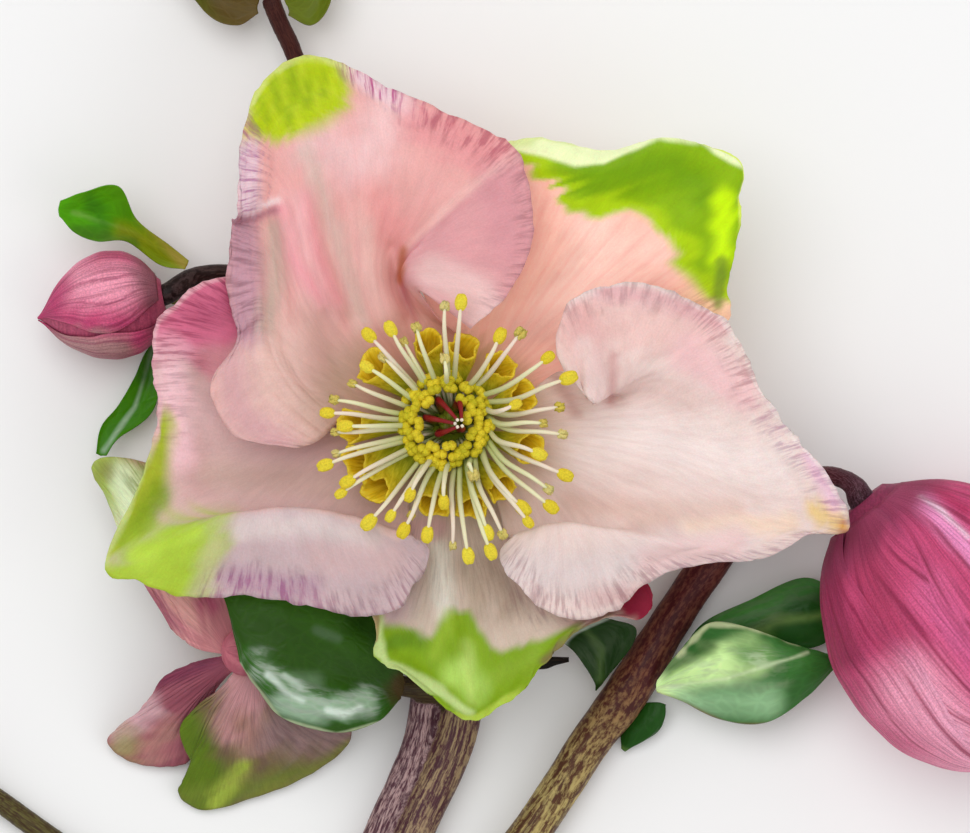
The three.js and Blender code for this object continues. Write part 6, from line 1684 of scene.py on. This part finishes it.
# ---------------------------------------------------------------- stem
# Colours along each branch: share of its length, skin, streaks, strength of the streaks.
STEM_PAINT = {
    "scape": [(0, "#4a4020", "#7c7a40", 0.6), (1, "#50303a", "#a8887c", 0.7)],
    "flower_stalk": [(0, "#50303a", "#a88e76", 0.8), (0.35, "#563036", "#ac9868", 0.8),
                     (0.6, "#4a3a1c", "#8a8a50", 0.6), (1, "#5a6a1c", "#8a9638", 0.5)],
    "left_stalk": [(0, "#56343e", "#c4a8a0", 0.8), (0.3, "#54303c", "#c0a0a0", 0.75),
                   (0.7, "#3c1414", "#5c3028", 0.5), (1, "#381412", "#583428", 0.5)],
    "left_bud_stalk": [(0, "#2c1814", "#4c3a30", 0.5), (1, "#1a0d0d", "#5a484a", 0.5)],
    "right_stalk": [(0, "#4a2c1c", "#a09058", 0.9), (0.26, "#5a3826", "#bcaa6c", 0.85),
                    (0.4, "#481a1c", "#84583c", 0.65), (0.6, "#521a20", "#7c4440", 0.55),
                    (1, "#2e1420", "#74586a", 0.5)],
    "low_bud_stalk": [(0, "#3c281c", "#74743c", 0.5), (1, "#4a3824", "#74743c", 0.5)],
    "side_flower_stalk": [(0.2, "#3a2c1c", "#5c5030", 0.5), (0.6, "#7a5a50", "#a09a68", 0.5),
                          (1, "#b86070", "#c88088", 0.4)],
}

# The large buds sit on the ends of their stalks.
STALK_IN_BUD = {"right_stalk": [(41.9, -8.6, 10.4, 1.5)], "left_bud_stalk": [(-29.6, 12.9, 5, 1.1)]}
STALK_SIDES, STALK_RING_GAP = 24, 0.7
SKIN_VOXEL = 0.0004          # metres
LOWEST = 0.05                # steps above the surface


class Branches:
    """Tubes along all branches, with what is known at each ring of them."""

    def __init__(self):
        self.tubes, self.owners = Parts(), []
        lines, headings, lengths = [], [], []
        for name, stations in BRANCHES.items():
            stations = np.array([*stations, *STALK_IN_BUD.get(name, ())], float)
            length = np.linalg.norm(np.diff(stations[:, :3], axis=0), axis=1).sum()
            rings = int(length / STALK_RING_GAP)
            self.tubes.add(*tube(stations, STALK_SIDES, rings, sway=0.045, seed=len(lines)))
            shares = np.linspace(0, 1, rings + 1)
            lines.append(spline(stations, shares)[:, :3])
            headings.append(np.gradient(lines[-1], axis=0))
            lengths.append(np.stack([shares, shares * length], -1))
            self.owners += [name] * (rings + 1)
        self.line, self.heading = np.concatenate(lines), np.concatenate(headings)
        self.share, self.length = np.concatenate(lengths).T

    def nearest(self, points):
        """The ring that each point lies nearest to."""
        tree = KDTree(len(self.line))
        for k, centre in enumerate(self.line):
            tree.insert(centre, k)
        tree.balance()
        return np.array([tree.find(point)[1] for point in points])

    def fields(self, points):
        """Each point's colour and the run of its streaks, from the branch it lies on."""
        nearest = self.nearest(points)
        paint, streak = np.zeros((len(points), 4)), np.zeros((len(points), 4))
        for name, stops in STEM_PAINT.items():
            chosen = np.array([self.owners[k] == name for k in nearest])
            share, at = self.share[nearest[chosen]], [stop[0] for stop in stops]
            skins = np.array([rgba(skin) for _, skin, _, _ in stops])
            lines = np.array([rgba(colour, strength) for _, _, colour, strength in stops])
            for channel in range(4):
                paint[chosen, channel] = np.interp(share, at, skins[:, channel])
                streak[chosen, channel] = np.interp(share, at, lines[:, channel])
        heading, offset = unit(self.heading[nearest]), points - self.line[nearest]
        shift = (offset * heading).sum(1, keepdims=True)
        around = unit(offset - heading * shift)
        flow = np.stack([around[:, 0] * 2.8 + around[:, 1] * 1.6,
                         1.6 * (self.length[nearest] + shift[:, 0]), around[:, 2] * 2.8], -1)
        return {"paint": paint, "streak": streak, "flow": flow}


def grow_skin(rough):
    """One skin over all the branches, so that they flow into each other at the forks."""
    skin = rough.modifiers.new("skin", "REMESH")
    skin.mode, skin.voxel_size, skin.use_smooth_shade = "VOXEL", SKIN_VOXEL, True
    even = rough.modifiers.new("even", "SMOOTH")
    even.factor, even.iterations = 0.5, 6
    graph = bpy.context.evaluated_depsgraph_get()
    mesh = bpy.data.meshes.new_from_object(rough.evaluated_get(graph))
    bpy.data.objects.remove(rough)
    return mesh


branches = Branches()
branches.tubes.add(*ball((*SIDE_RING[:2], 9), UP, length=1.3, width=2.6, sides=24, rings=14))
vertices = np.concatenate(branches.tubes.vertices)
vertices[:, 2] = np.maximum(vertices[:, 2], LOWEST)
mesh = grow_skin(make_mesh("stem_tubes", STEM, vertices, branches.tubes.faces, {}))
points = np.empty(len(mesh.vertices) * 3)
mesh.vertices.foreach_get("co", points)
for key, values in branches.fields(points.reshape(-1, 3) / STEP).items():
    add_field(mesh, key, values)
mesh.materials.clear()
mesh.materials.append(STEM)
declare(add_object("stem_skin", mesh), "stem", "stem")


# ---------------------------------------------------------------- floor, light, camera
VIEW_WIDTH = 0.1067          # metres across the view at the height of the flower
VIEW_CENTRE = (0.00385, 0.00094, 0.017)
CAMERA_HEIGHT = 1.2
SENSOR_WIDTH = 36            # millimetres
FLOOR_REACH, FLOOR_LEVEL = 2, -0.0001
LIGHT_AIM = (0, 0, 0.01)
WORLD_STRENGTH = 0.62


def add_floor():
    """The pale surface that the stem lies on."""
    mesh = bpy.data.meshes.new("floor")
    corners = [(x * FLOOR_REACH, y * FLOOR_REACH, FLOOR_LEVEL)
               for x, y in ((-1, -1), (1, -1), (1, 1), (-1, 1))]
    mesh.from_pydata(corners, [], [(0, 1, 2, 3)])
    g = Graph("floor")
    g.surface(Base_Color=(0.93, 0.93, 0.93, 1), Roughness=0.9, Specular_IOR_Level=0.1)
    mesh.materials.append(g.material)
    floor = add_object("floor", mesh)


def add_light(name, place, size, power):
    """A round lamp that shines on the flower; its size is in metres, its power in watts."""
    data = bpy.data.lights.new(name, "AREA")
    data.shape, data.size, data.energy = "DISK", size, power
    light = add_object(name, data)
    light.location = place
    light.rotation_euler = (Vector(LIGHT_AIM) - Vector(place)).to_track_quat("-Z", "Y").to_euler()


def add_camera():
    """Straight above the flower, so that its view is VIEW_WIDTH wide."""
    data = bpy.data.cameras.new("camera")
    data.sensor_width = SENSOR_WIDTH
    data.lens = SENSOR_WIDTH * (CAMERA_HEIGHT - VIEW_CENTRE[2]) / VIEW_WIDTH
    data.clip_start, data.clip_end = 0.05, 20
    camera = add_object("camera", data)
    camera.location = (*VIEW_CENTRE[:2], CAMERA_HEIGHT)
    bpy.context.scene.camera = camera


add_floor()
add_light("key", (-0.2, 0.3, 0.85), size=0.9, power=3.8)
add_light("fill", (0.5, -0.3, 0.5), size=0.6, power=0.7)
add_camera()
world = bpy.data.worlds.new("studio")
world.use_nodes = True
background = world.node_tree.nodes["Background"].inputs
background["Color"].default_value = (1, 1, 1, 1)
background["Strength"].default_value = WORLD_STRENGTH
bpy.context.scene.world = world
bpy.context.scene.view_settings.view_transform = "Standard"
